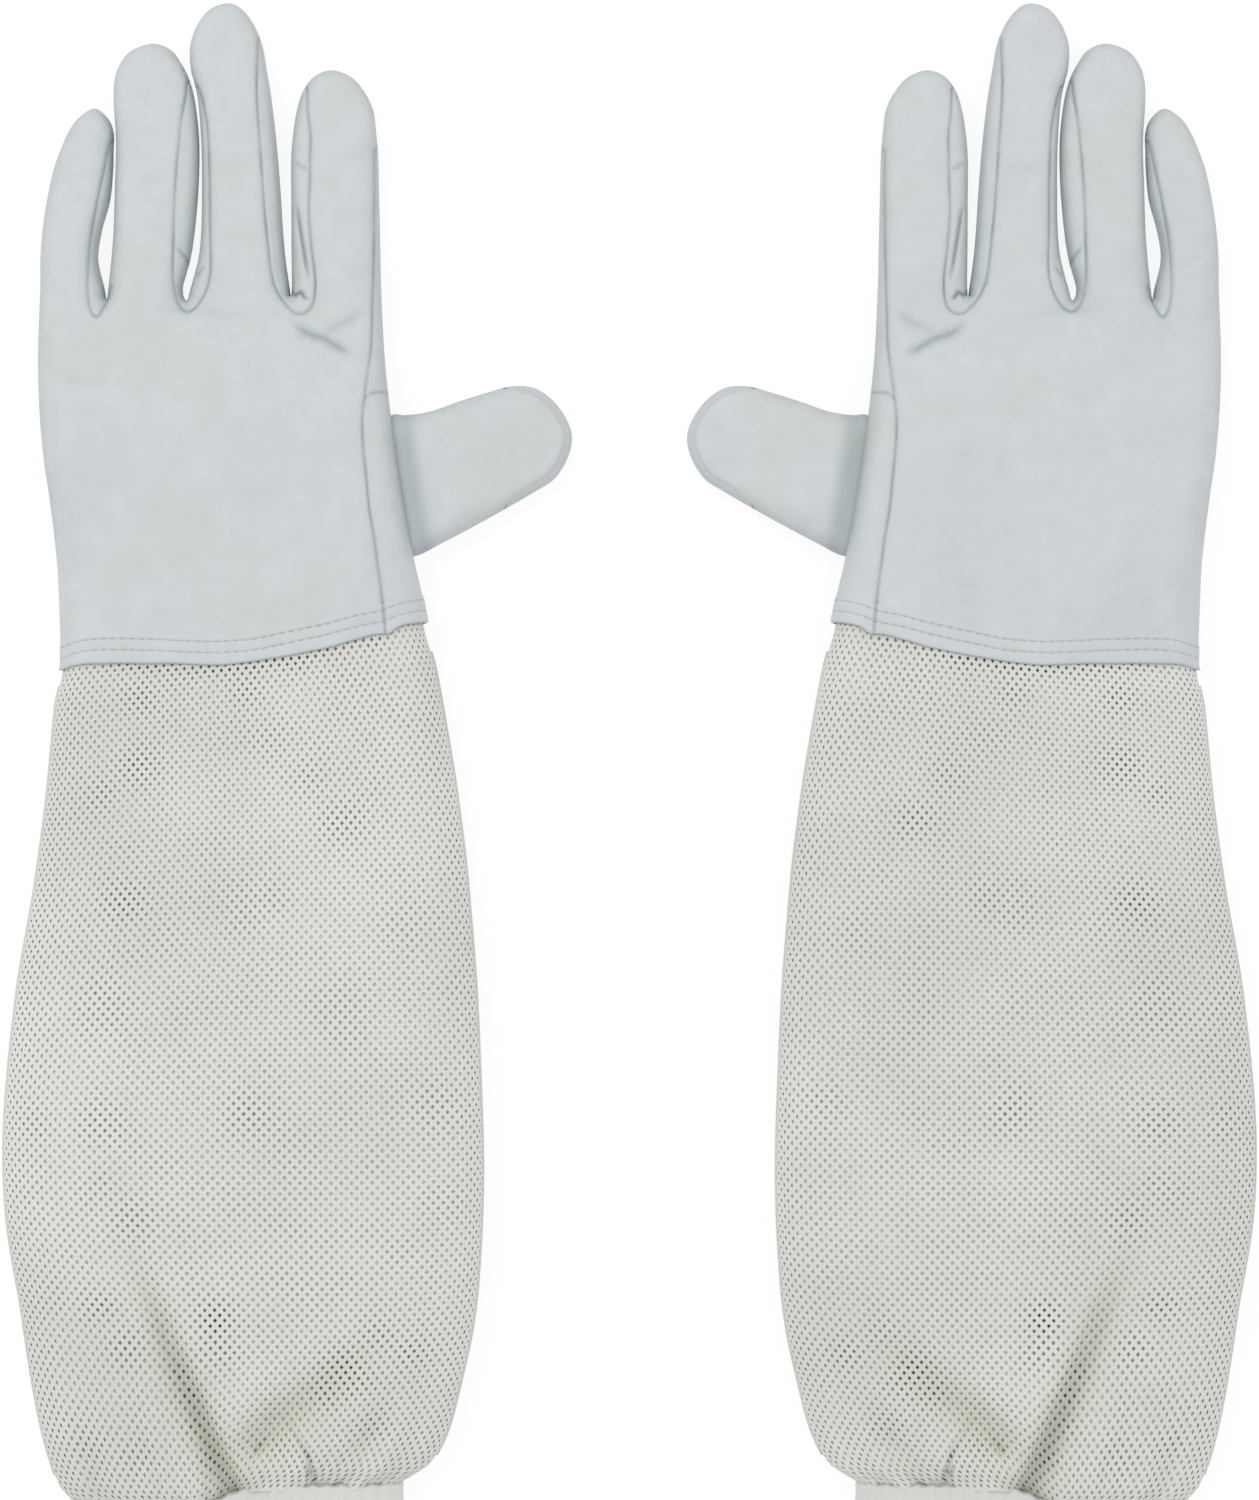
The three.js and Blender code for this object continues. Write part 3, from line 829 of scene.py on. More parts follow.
def build_hand(glove, plan, lines):
    p, d = plan.points, plan.distance
    top_seams = [k for k in lines if k.startswith("top_")]
    under = [k for k in lines if k.startswith("under_")]
    relief, shade = leather_relief(glove, p, d)
    top, low = hand_section(p, d)
    top += relief
    uneven = 0.8 + 0.35 * Noise(glove.seed + 2, 7)(p[:, 0], p[:, 1])
    seam_shade = np.zeros(len(p))
    for k in top_seams:
        dip, dark = seam_marks(p, lines[k], d, uneven)
        top += dip
        seam_shade = np.maximum(seam_shade, dark)
    dip, dark = seam_marks(p, catmull(CROSS_SEAM, 0.9), d + 2, uneven)
    on_strip = smoothstep(-0.6, 0.4, p[:, 0] - edge_at(SIDE_SEAM, p[:, 1]))
    top += dip * on_strip
    seam_shade = np.maximum(seam_shade, dark * on_strip)
    under_shade = np.zeros(len(p))
    for k in under:
        away = distance_to(p, lines[k])[0]
        fade = smoothstep(0.5, 3.0, d)
        low += 0.6 * bell(away / 0.6) * fade
        under_shade = np.maximum(under_shade, 0.5 * bell(away / 0.5) * (0.3 + 0.7 * fade))
    # painted shade along the hand's rounded edge
    edge_shade = 0.2 * bell(d / 1.5) * smoothstep(-95, -70, p[:, 1])
    shades = np.concatenate([shade + seam_shade + edge_shade, under_shade + edge_shade])
    shades = np.clip(shades, 0, DARKEST)
    verts, low_tris = two_sided(plan, top, low)
    tris = np.vstack([plan.tris, low_tris])
    if not hasattr(plan, "names"):
        plan.names = np.concatenate([plan.regions(set(top_seams) | {"split"}, TOP_LABELS),
                                     plan.regions(set(under) | {"split"}, LOW_LABELS)])
    names = plan.names
    normals = vertex_normals(verts, tris)
    missing = {name for name, _ in TOP_LABELS + LOW_LABELS} - set(names)
    assert not missing, missing
    for name in sorted(set(names)):
        mine = names == name
        v, faces, used, n = shell(verts, tris[mine], normals, LEATHER)
        fields = {"shade": np.concatenate([shades[used], shades[used]])}
        finger = name.split("_")[0]
        is_finger = finger in ORDER
        o = glove.add(name, v, faces, "leather", "leather", n, fields, None if is_finger else "hand", [name])
        if is_finger:
            x = float(v[:, 0].mean())
            glove.bend(o, finger, (x, SPLIT_Y), (x, BEND_END))


# ---- The thumb -------------------------------------------------------------------------

THUMB_HEIGHT = 15.5
THUMB_SEAM_INSET = 2.4
THUMB_SEAM_FROM, THUMB_SEAM_FULL = 95.0, 108.0  # the seam leaves the thumb's edge and turns onto its back
THUMB_CREASE = [(74, -42), (77, -52), (78, -66), (76, -74)]


def thumb_plan():
    edge = catmull(THUMB_EDGE, 1.2)
    outline = np.vstack([edge, wrist_line(THUMB_EDGE[-1], THUMB_EDGE[0], 1.7)])
    inset = THUMB_SEAM_INSET * smoothstep(THUMB_SEAM_FROM, THUMB_SEAM_FULL, edge[:, 0])
    ring = edge + to_right(edge) * inset[:, None]
    tip = np.nonzero(inset > 0.9)[0]
    middle = ring[tip]
    middle = middle[distance_to(middle, edge)[0] > inset[tip] * 0.93]
    seam = np.vstack([edge[tip[0] - 2], middle, edge[tip[-1] + 2]])
    return Plan(outline, edge, {"top_ring": seam}, 1.8, rows=(0.35, 1.2, 5.0, 7.0)), seam


def build_thumb(glove, plan, seam):
    p, d = plan.points, plan.distance
    x, y = p[:, 0], p[:, 1]
    out = smoothstep(62, 122, x)
    from_hand = x - edge_at(INNER_EDGE, y)
    height = THUMB_HEIGHT - 5.5 * out**1.5 - 4.0 * smoothstep(9, -2, from_hand)
    rough, fine = Noise(glove.seed + 3, 13), Noise(glove.seed + 4, 6)
    relief = (0.4 * rough(x, y) + 0.12 * fine(x, y)) * smoothstep(0, 6, d)
    crease, along, _ = distance_to(p, catmull(THUMB_CREASE, 1.5))
    relief += groove(crease, 0.45, 2.6) * smoothstep(0, 8, along)
    away = distance_to(p, seam)[0]
    fade = smoothstep(0, 2.6, d) * smoothstep(96, 108, x)
    top = height / 2 + height / 2 * rounded(d, height * 0.5) + relief + groove(away, 0.22, 0.5, 0.3) * fade
    low = height / 2 - height / 2 * rounded(d, height * 0.55)
    verts, tris_low = two_sided(plan, top, low)
    # the seam's line, painted shade along the rounded edge, and painted shade where the thumb dips towards
    # the hand's edge at its root
    shade = 0.2 * bell(away / 0.5) * fade + 0.18 * bell(d / 1.5)
    root = bell((from_hand - 4.6) / 3.6) + smoothstep(2, -3, from_hand)
    shade = np.clip(shade + (0.26 + 0.07 * rough(x, y)) * np.clip(root, 0, 1), 0, DARKEST)
    shades = np.concatenate([shade, shade])
    if not hasattr(plan, "names"):
        plan.names = plan.regions({"top_ring"}, [("thumb_back", (95, -50)), ("thumb_front", (120.5, -46))])
    front = np.vstack([plan.tris[plan.names == "thumb_front"], tris_low])
    normals = vertex_normals(verts, np.vstack([plan.tris, tris_low]))
    for name, tris in (("thumb_back", plan.tris[plan.names == "thumb_back"]), ("thumb_front", front)):
        v, faces, used, n = shell(verts, tris, normals, LEATHER)
        fields = {"shade": np.concatenate([shades[used]] * 2)}
        o = glove.add(name, v, faces, "leather", "leather", n, fields, None, [name])
        glove.bend(o, "thumb", (THUMB_ROOT_X, -61), (THUMB_ROOT_X + 22, -55))


# ---- Tubes: the hem, the sleeve and the cuff -------------------------------------------

# Sleeve edges, as (y, outer x, inner x) down the sleeve
SLEEVE_EDGES = [
    (-100, -50.2, 72.2), (-112, -50.8, 74.0), (-122, -51.1, 75.7), (-134, -52.2, 78.0), (-148, -53.4, 80.4),
    (-161, -54.5, 82.6), (-175, -56.0, 84.5), (-188, -57.7, 86.2), (-202, -59.7, 87.5), (-215, -62.1, 88.6),
    (-229, -64.5, 89.7), (-242, -66.0, 90.4), (-256, -67.5, 91.0), (-269, -68.6, 91.5), (-283, -69.2, 92.0),
    (-296, -69.1, 92.1), (-310, -68.2, 91.7), (-323, -66.2, 91.0), (-337, -63.6, 89.9), (-350, -61.8, 87.9),
    (-364, -59.4, 84.6), (-377, -56.4, 81.5), (-384, -54.3, 79.0), (-391, -51.6, 75.3), (-396, -49.2, 71.0),
    (-401, -46.2, 62.0),
]
SLEEVE_HEIGHTS = [
    (-100, 21.8), (-118, 22.0), (-160, 25.5), (-210, 29.5), (-280, 32.6), (-330, 31.6), (-370, 27.5),
    (-390, 23.5), (-401, 21.0),
]
END_DROOP = 7.5  # how much lower the gathered end is at its outer side
END_TUCK = 2.3  # how far the net is drawn in where it goes into the casing
SLEEVE_TOP_Y, SLEEVE_END_Y = -106.0, -399.4
WRIST_REACH = 11.3  # how far in from the side edge the top is rounded, at the wrist


def down_sleeve(table, column, y):
    """A smoothed reading of a table that runs down the sleeve."""
    return smoothed(table[::-1], column, y, (-4.0, 0, 4.0))


def round_ring(count):
    """From -1 to 1 over the top of a ring and back again underneath, count points each way."""
    return np.concatenate([np.linspace(-1, 1, count + 1)[:-1], np.linspace(1, -1, count + 1)[:-1]])


def evenly(line, count):
    """count points at even distances along a 2-D line, without its end."""
    s = np.concatenate([[0], np.cumsum(np.linalg.norm(np.diff(line, axis=0), axis=1))])
    at = np.linspace(0, s[-1], count + 1)[:-1]
    return np.stack([np.interp(at, s, line[:, 0]), np.interp(at, s, line[:, 1])], -1)


def ring_normals(ring):
    tangent = np.roll(ring, -1, 0) - np.roll(ring, 1, 0)
    tangent /= np.linalg.norm(tangent, axis=1, keepdims=True)
    return np.stack([-tangent[:, 1], tangent[:, 0]], -1)


def section(half_width, height, count, reach, under=0.56):
    """A closed cross-section with even spacing: (across, up) and its outward normal, from the outer
    edge over the top to the inner edge, then back underneath. Half the points are on top."""
    across = half_width * np.sin(np.linspace(-math.pi / 2, math.pi / 2, 1200))
    edge = half_width - np.abs(across)
    middle = height * 0.47
    top = np.stack([across, middle + (height - middle) * rounded(edge, reach)], -1)
    low = np.stack([across, middle * (1 - rounded(edge, height * under, 2.1))], -1)[::-1]
    ring = np.vstack([evenly(top, count), evenly(low, count)])
    return ring, ring_normals(ring)


def grid_faces(rows, columns):
    """The faces between rings of points, each ring closed on itself."""
    faces = []
    for i in range(rows - 1):
        for j in range(columns):
            k = (j + 1) % columns
            faces.append((i * columns + j, i * columns + k, (i + 1) * columns + k, (i + 1) * columns + j))
    return faces


def thick_tube(outer, inner):
    """A closed wall from two matching grids of rings, each (rows, columns, 3)."""
    rows, columns, _ = outer.shape
    n = rows * columns
    wall = grid_faces(rows, columns)
    faces = [tuple(reversed(f)) for f in wall] + [tuple(a + n for a in f) for f in wall]
    for j in range(columns):
        k = (j + 1) % columns
        faces.append((j, k, k + n, j + n))
        a, b = (rows - 1) * columns + j, (rows - 1) * columns + k
        faces.append((b, a, a + n, b + n))
    return np.vstack([outer.reshape(-1, 3), inner.reshape(-1, 3)]), faces


HEM_COLUMNS = 215  # over the top of the hem, and as many underneath
STITCH_COLUMNS = 5  # columns between two stitch holes
STITCH_ROWS = (8.0, 4.3)
HEM_OUTER = [
    (10.4, -0.12), (10.2, -0.04), (9.4, 0.1), (8.4, 0.24), (8.0, 0.14), (7.6, 0.3), (7.2, 0.34),
    (6.0, 0.38), (4.7, 0.32), (4.3, 0.18), (3.9, 0.34), (3.0, 0.46), (1.6, 0.5), (0.7, 0.44), (0.2, 0.15),
    (0.0, -0.35),
]
HEM_INNER = [
    (10.4, -0.3), (10.2, -0.3), (9.4, -0.2), (8.4, 0.0), (8.0, 0.0), (7.6, 0.0), (7.2, 0.0), (6.8, -0.9),
    (4.7, -0.9), (4.3, -0.9), (3.9, -0.9), (3.0, -0.9), (1.6, -0.9), (0.7, -0.9), (0.2, -0.9), (0.1, -0.8),
]


def hem_ring(up, out, columns):
    """A ring round the wrist, up from the leather's lower edge and out from the hand's surface."""
    a, b = edge_crossings(up)
    share = 0.5 + 0.5 * np.sin(np.linspace(-math.pi / 2, math.pi / 2, 900))
    line = a + (b - a) * share[:, None]
    lowered = line + sag(line[:, :1]) * WRIST_UP
    top, low = hand_section(lowered, distance_to(lowered, HAND_EDGE)[0])
    across = (line - a) @ WRIST_ACROSS
    ring = np.vstack([evenly(np.stack([across, top], -1), columns),
                      evenly(np.stack([across, low], -1)[::-1], columns)])
    normal = ring_normals(ring)
    ring = ring + normal * out
    plan = a + ring[:, :1] * WRIST_ACROSS
    plan = plan + sag(plan[:, :1]) * WRIST_UP
    return np.column_stack([plan, ring[:, 1]]), np.column_stack([normal[:, :1] * WRIST_ACROSS, normal[:, 1]])


def build_hem(glove):
    wave, edge_wave = Noise(glove.seed + 11, 16), Noise(glove.seed + 12, 13)
    column = np.arange(2 * HEM_COLUMNS)
    beside = np.where((column + 1) % STITCH_COLUMNS <= 2, 0.25, 0.0)
    hole = np.where(column % STITCH_COLUMNS == 0, 1.0, beside)
    outer, inner, shade = [], [], []
    for up, out in HEM_OUTER:
        ring, normal = hem_ring(up, out, HEM_COLUMNS)
        x, y, z = ring.T
        sewn = 1.0 if up in STITCH_ROWS else 0.0
        puff = 0.1 * wave(x, y + 2 * z) - 0.16 * sewn * hole
        foot = x - edge_at(SIDE_SEAM, y)
        on_top = z > 11
        seam = np.where(on_top, bell(foot / 0.5), 0)
        ring += normal * (puff * smoothstep(0.0, 0.3, out) - 0.3 * seam)[:, None]
        low_edge = (0.55 * edge_wave(x, z) + np.where(on_top, 0.3 * bell((foot + 4) / 3.5), 0)
                    - np.where(on_top, bell((foot - 1.2) / 2.0), 0))
        low_edge = smoothstep(3.2, 0, up) * low_edge
        ring[:, :2] += low_edge[:, None] * WRIST_UP
        outer.append(ring)
        # painted shade in the stitch holes, and a painted shadow line along the leather's lower edge
        row = 0.26 * sewn * hole + (0.3 if up <= 0.2 else 0.0)
        shade.append(np.clip(np.maximum(row, 0.6 * seam), 0, 0.8))
    for (up, out), (outer_up, _) in zip(HEM_INNER, HEM_OUTER):
        ring, _ = hem_ring(up, out, HEM_COLUMNS)
        if outer_up <= 0.7:
            edge = hem_ring(outer_up, 0, HEM_COLUMNS)[0]
            ring[:, :2] = outer[len(inner)][:, :2] + (ring[:, :2] - edge[:, :2])
        inner.append(ring)
    outer, inner = np.array(outer), np.array(inner)
    outer[..., 2] = np.maximum(outer[..., 2], 0.02)
    inner[..., 2] = np.maximum(inner[..., 2], 0.5)
    verts, faces = thick_tube(outer, inner)
    fields = {"shade": np.concatenate([np.concatenate(shade)] * 2)}
    glove.add("cuff_hem", verts, faces, "leather", "leather", None, fields, "hand", ["cuff_hem"])


def capsules(centres, directions, ups, length, radius, sides=6):
    """Short round-ended threads, each pushed a little into the surface at its ends."""
    verts, faces = [], []
    first_half = [(-0.5, 0.0, -0.55), (-0.44, 0.7, -0.25), (-0.25, 1.0, 0.12)]
    stations = first_half + [(0.0, 1.05, 0.3)] + [(-a, b, c) for a, b, c in reversed(first_half)]
    for c, t, u in zip(centres, directions, ups):
        side = np.cross(t, u)
        base = len(verts)
        for share, size, lift in stations:
            middle = c + t * (share * length) + u * (lift * radius)
            if size == 0:
                verts.append(middle)
                continue
            for k in range(sides):
                a = 2 * math.pi * k / sides
                verts.append(middle + (side * math.cos(a) + u * math.sin(a)) * radius * size)
        rings = len(stations) - 2
        first = base + 1
        for k in range(sides):
            m = (k + 1) % sides
            faces.append((base, first + m, first + k))
            for r in range(rings - 1):
                a, b = first + r * sides, first + (r + 1) * sides
                faces.append((a + k, a + m, b + m, b + k))
            end = first + (rings - 1) * sides
            faces.append((end + k, end + m, first + rings * sides))
    return np.array(verts), [tuple(reversed(f)) for f in faces]


def build_stitches(glove):
    length, radius = 2.15, 0.24
    centres, directions, ups = [], [], []
    for up in STITCH_ROWS:
        ring, normal = hem_ring(up, 0.22, HEM_COLUMNS)
        for j in range(0, len(ring), STITCH_COLUMNS):
            a, b = ring[j], ring[(j + STITCH_COLUMNS) % len(ring)]
            if min(a[2], b[2]) < 0.8:
                continue
            centres.append((a + b) / 2)
            directions.append((b - a) / np.linalg.norm(b - a))
            ups.append(normal[(j + STITCH_COLUMNS // 2) % len(ring)])
    verts, faces = capsules(centres, directions, ups, length, radius)
    glove.add("hem_stitches", verts, faces, "thread", "leather", None, None, "hand")


# ---- The sleeve ------------------------------------------------------------------------

NET_COLUMNS, NET_ROWS = 51, 83  # holes across one side of the sleeve, and along it
HOLE = 0.43  # a hole's width as a share of the spacing
NET_THICK = 0.4
SPACER_GAP, SPACER_THICK = 0.48, 1.1
LINING_GAP, LINING_THICK = 2.1, 0.5
SLEEVE_LENGTH = SLEEVE_TOP_Y - SLEEVE_END_Y
HEM_TUCK = 1.55  # how far the sleeve is drawn in where it goes under the hem
FOLDS = [  # folds that run up the sleeve from the gathered end: points, depth, width, whether the thumb's side laps over the other, painted shade and brownish painted shade tint
    # side laps over the other, shade and brownish tint
    ([(11.8, -401.5), (4.9, -387), (-0.2, -374.5), (-5.4, -361.5), (-11.2, -347.2), (-15.7, -334.4),
      (-22.4, -318.6), (-28.5, -303.8)], 4.0, 7.5, 1, 0.5, 0.5),
    ([(13.8, -384.6), (21.7, -376.3), (28.6, -370.5), (38, -363.4), (48, -355.6), (58.2, -346.2),
      (67.1, -335.3)], 2.2, 8.5, 0, 0.12, 0.34),
    ([(39.5, -398.4), (43.9, -392.5), (53.3, -381.7), (63.1, -368.9), (71, -359), (76.9, -349.1)],
     1.7, 6.5, 0, 0.08, 0.08),
    ([(36, -398), (34.9, -392), (33.8, -386), (30.5, -380.3), (27, -375.8), (22, -372)],
     1.4, 1.2, 0, 0.6, 0.1),
    ([(15.8, -386.6), (19.8, -381.7), (23.7, -378.9)], 0.9, 1.3, 0, 0.4, 0.2),
    ([(-37.4, -401.4), (-39.4, -390.5), (-44.3, -376.7), (-47.3, -364.9)], 1.0, 4.5, 0, 0.06, 0.0),
    ([(-15.7, -402.4), (-17.7, -392.5), (-22.6, -380.7), (-26.6, -370.8)], 0.9, 4.0, 0, 0.06, 0.0),
]
SWELLS = [  # broad shallow hollows in the sleeve: points, depth and width
    ([(-18, -140), (-22, -170), (-28, -205)], 0.9, 11.0),
    ([(-34, -215), (-38, -240), (-36, -262)], 1.0, 12.0),
    ([(52, -160), (54, -180), (48, -200)], 0.9, 10.0),
    ([(10, -230), (14, -262), (20, -290)], 0.7, 15.0),
    ([(66, -255), (64, -285), (58, -312)], 0.9, 12.0),
]
DARK_SPOTS = [  # painted shade on the spacer, where the net stands off it and its holes look darker: x, y, size and strength
    (-10, -122, 11, 0.6), (12, -122, 10, 0.9), (29, -119, 9, 0.85), (43, -117, 8, 0.7),
    (55, -113, 6, 0.8), (13, -131, 7, 0.85), (-23, -133, 8, 0.8), (-23, -156, 10, 0.9),
    (-36, -166, 8, 0.6), (22, -146, 10, 0.3), (46, -126, 9, 0.5), (35, -161, 9, 0.45),
    (47, -175, 10, 0.7), (-28, -202, 11, 0.75), (12, -204, 12, 0.35), (23, -201, 9, 0.4),
    (-35, -237, 11, 0.75), (44, -237, 13, 0.35), (48, -246, 9, 0.4), (-34, -275, 10, 0.7),
    (-57, -275, 8, 0.6), (14, -272, 10, 0.65), (77, -270, 9, 0.65), (-25, -308, 10, 0.8),
    (-35, -337, 8, 0.75), (-27, -351, 8, 0.85), (4, -341, 9, 0.95), (4, -352, 8, 0.95),
    (47, -359, 11, 0.9), (40, -365, 8, 0.8), (58, -347, 9, 0.65), (56, -377, 7, 0.8), (24, -384, 6, 0.7),
    (69, -352, 8, 0.7), (-23, -388, 8, 0.75), (-8, -359, 6, 0.8), (-5, -367, 6, 0.95), (-3, -377, 6, 1.0),
    (2, -388, 5, 1.0), (-35, -298, 9, 0.5), (67, -211, 12, 0.35), (-40, -385, 8, 0.5), (30, -392, 6, 0.5),
]


def sleeve_ring(v):
    """Centre, direction across, half width and height of the sleeve's section, v from 0 to 1."""
    y = SLEEVE_TOP_Y - SLEEVE_LENGTH * v
    slant = SLANT * (1 - v) ** 4
    rough = 65.0 + 15 * v
    left = down_sleeve(SLEEVE_EDGES, 1, y - rough * math.sin(slant))
    right = down_sleeve(SLEEVE_EDGES, 2, y + rough * math.sin(slant))
    height = down_sleeve(SLEEVE_HEIGHTS, 1, y)
    across = np.array([math.cos(slant), math.sin(slant)])
    half = (right - left) / 2 / across[0]
    return np.array([(left + right) / 2, y]), across, float(half), float(height)


def droop(x):
    return -END_DROOP * smoothstep(18, -7, x)


def gathers(glove, s, v, side):
    """The small gathers that fan out from the elastic: s from -1 to 1 across, v along."""
    from_end = (1 - v) * SLEEVE_LENGTH
    wander = Noise(glove.seed + 21 + side, 0.35)
    phase = 2 * math.pi * 12 * s + 2.1 * wander(s, v * 0.8) + 1.5 * side
    small = np.abs(np.sin(phase / 2)) ** 1.3 - 0.55
    slow = np.sin(2 * math.pi * 4.6 * s + 2.6 * wander(s * 0.7 + 3, v * 0.5) + side)
    middle = smoothstep(0.97, 0.8, np.abs(s))
    return (1.1 * math.exp(-from_end / 9.0) * small + 0.9 * math.exp(-from_end / 36.0) * slow) * middle


def fold_relief(p):
    """How far the sleeve's top is moved by its folds and hollows, with the shade and brownish tint painted
    along the folds.
    """
    lift, dark, fold_shade_tint = np.zeros(len(p)), np.zeros(len(p)), np.zeros(len(p))
    for points, depth, width, lap, shade, tint in FOLDS:
        line = catmull(points, 1.5)
        d, along, side = distance_to(p, line)
        length = line_length(line)
        ends = smoothstep(length, 0.15 * length, along)
        across = d * side * (1 if points[0][0] < points[-1][0] else -1)
        if lap:
            rise = 0.75 * depth * bell((across - 0.75 * width) / (0.75 * width))
            steep = np.where(across > 0, 0.32 * width, 0.95 * width)
            cut = depth * np.exp(-(np.abs(across / steep) ** 1.7))
            lift += (rise - cut) * ends
            band = bell((across + 0.32 * width) / (0.42 * width))
        else:
            lift -= depth * bell(d / (0.6 * width)) * ends
            lift += 0.4 * depth * bell((d - 1.3 * width) / (0.7 * width)) * ends
            band = bell(d / (0.5 * width))
        fade = ends * smoothstep(0, 0.08 * length, along + 0.04 * length)
        dark += shade * band * fade
        fold_shade_tint += tint * bell((across + 0.25 * width) / (0.8 * width)) * fade
    for points, depth, width in SWELLS:
        line = catmull(points, 2.0)
        d, along, _ = distance_to(p, line)
        length = line_length(line)
        fall = depth * bell(d / width) * smoothstep(length, 0.6 * length, along)
        lift -= fall * smoothstep(0, 0.3 * length, along)
    return lift, np.clip(dark, 0, 0.7), np.clip(fold_shade_tint, 0, DARKEST)


def spot_shade(glove, x, y):
    """The shade painted on the spacer, to be seen through the net's holes."""
    patchy = Noise(glove.seed + 35, 9)(x, y)
    dark = 0.02 + 0.12 * smoothstep(0.05, 0.7, patchy)
    for cx, cy, size, strength in DARK_SPOTS:
        d2 = ((x - cx) ** 2 + (y - cy) ** 2) / size**2
        dark = np.maximum(dark, strength * np.exp(-1.4 * d2) * (0.85 + 0.35 * patchy))
    # a painted shadow in the net's holes just below the leather's lower edge
    below_hem = sag(x) - above_wrist(np.stack([x, y], -1))
    beside = 0.95 * smoothstep(-50, -20, x) * smoothstep(62, 46, x)
    return np.maximum(dark, beside * bell((below_hem - 1.2) / 2.3) * (0.85 + 0.3 * patchy))


def sleeve_surface(glove, rows, half_columns):
    """Rings down the sleeve, upper half first and then lower half, with their normals and fields."""
    columns = 2 * half_columns
    verts = np.zeros((rows + 1, columns, 3))
    broad, close = Noise(glove.seed + 31, 38), Noise(glove.seed + 32, 15)
    s = round_ring(half_columns)
    upper = np.arange(columns) < half_columns
    for i in range(rows + 1):
        v = i / rows
        centre, across, half, height = sleeve_ring(v)
        from_top, from_end = v * SLEEVE_LENGTH, (1 - v) * SLEEVE_LENGTH
        tuck = END_TUCK * float(smoothstep(7.5, 0.8, from_end))
        reach = WRIST_REACH + (0.6 * half - WRIST_REACH) * float(smoothstep(0.03, 0.4, v))
        ring, normal = section(half - tuck, height - 2 * tuck, half_columns, reach)
        ring[:, 1] += tuck
        x = centre[0] + across[0] * ring[:, 0]
        y = centre[1] + across[1] * ring[:, 0] + droop(x) * float(smoothstep(60, 0, from_end))
        gather = np.where(upper, gathers(glove, s, v, 0), 0.45 * gathers(glove, s, v, 1))
        body = smoothstep(0.07, 0.14, v) * smoothstep(1.0, 0.75, np.abs(s))
        body = body * float(smoothstep(0, 12, from_end))
        waves = (0.7 * broad(x, y) + 0.25 * close(x, y)) * body
        lift = np.where(upper, gather + waves, gather + 0.3 * np.abs(waves))
        lift -= HEM_TUCK * smoothstep(24, 9.5, from_top + sag(x))
        verts[i, :, 0] = x + lift * across[0] * normal[:, 0]
        verts[i, :, 1] = y + lift * across[1] * normal[:, 0]
        verts[i, :, 2] = ring[:, 1] + lift * normal[:, 1]
    flat = verts[..., :2].reshape(-1, 2)
    drop, dark, fold_shade_tint = fold_relief(flat)
    on_top = np.broadcast_to(upper, verts.shape[:2])
    inside_edge = smoothstep(1.0, 0.9, np.abs(np.broadcast_to(s, verts.shape[:2])))
    verts[..., 2] += np.where(on_top, drop.reshape(on_top.shape) * inside_edge, 0)
    verts[..., 2] = np.maximum(verts[..., 2], 0.02)
    # painted shade and brownish painted shade tint along the folds, on the upper half only
    shade = np.where(on_top, dark.reshape(on_top.shape), 0)
    fold_shade_tint = np.where(on_top, fold_shade_tint.reshape(on_top.shape), 0)
    hole_shade = spot_shade(glove, flat[:, 0], flat[:, 1]).reshape(on_top.shape)
    hole_shade = np.where(on_top, np.maximum(hole_shade, 1.3 * shade), 0.1)
    wrapped = np.concatenate([verts[:, -1:], verts, verts[:, :1]], 1)
    normals = np.cross(np.gradient(verts, axis=0), np.gradient(wrapped, axis=1)[:, 1:-1])
    normals /= np.maximum(np.linalg.norm(normals, axis=2, keepdims=True), 1e-9)
    return verts, normals, {"shade": shade, "fold_shade_tint": fold_shade_tint, "hole_shade": np.clip(hole_shade, 0, 0.95)}


def closed_round(a):
    """A grid of rings with its first column repeated after its last."""
    return np.concatenate([a, a[:, :1]], 1)


NEIGHBOURS = ((-1, 0), (0, 1), (1, 0), (0, -1))


def net_faces(height, width):
    """A diamond net over a grid of points: the cells' centres and corners, and the triangles of the
    half cells round its border, which have no hole."""
    index = np.arange(height * width).reshape(height, width)
    i, j = np.meshgrid(np.arange(height), np.arange(width), indexing="ij")
    whole = (i > 0) & (i < height - 1) & (j > 0) & (j < width - 1) & ((i + j) % 2 == 0)
    ci, cj = i[whole], j[whole]
    corners = np.stack([index[ci + di, cj + dj] for di, dj in NEIGHBOURS], 1)
    half = []
    border = [(a, b) for a in (0, height - 1) for b in range(width)]
    border += [(a, b) for b in (0, width - 1) for a in range(1, height - 1)]
    for a, b in border:
        if (a + b) % 2:
            continue
        around = [(a + di, b + dj) for di, dj in NEIGHBOURS]
        there = [0 <= p < height and 0 <= q < width for p, q in around]
        for k in range(4):
            if there[k] and there[(k + 1) % 4]:
                half.append((index[around[k]], index[around[(k + 1) % 4]], index[a, b]))
    return index[ci, cj], corners, np.array(half)


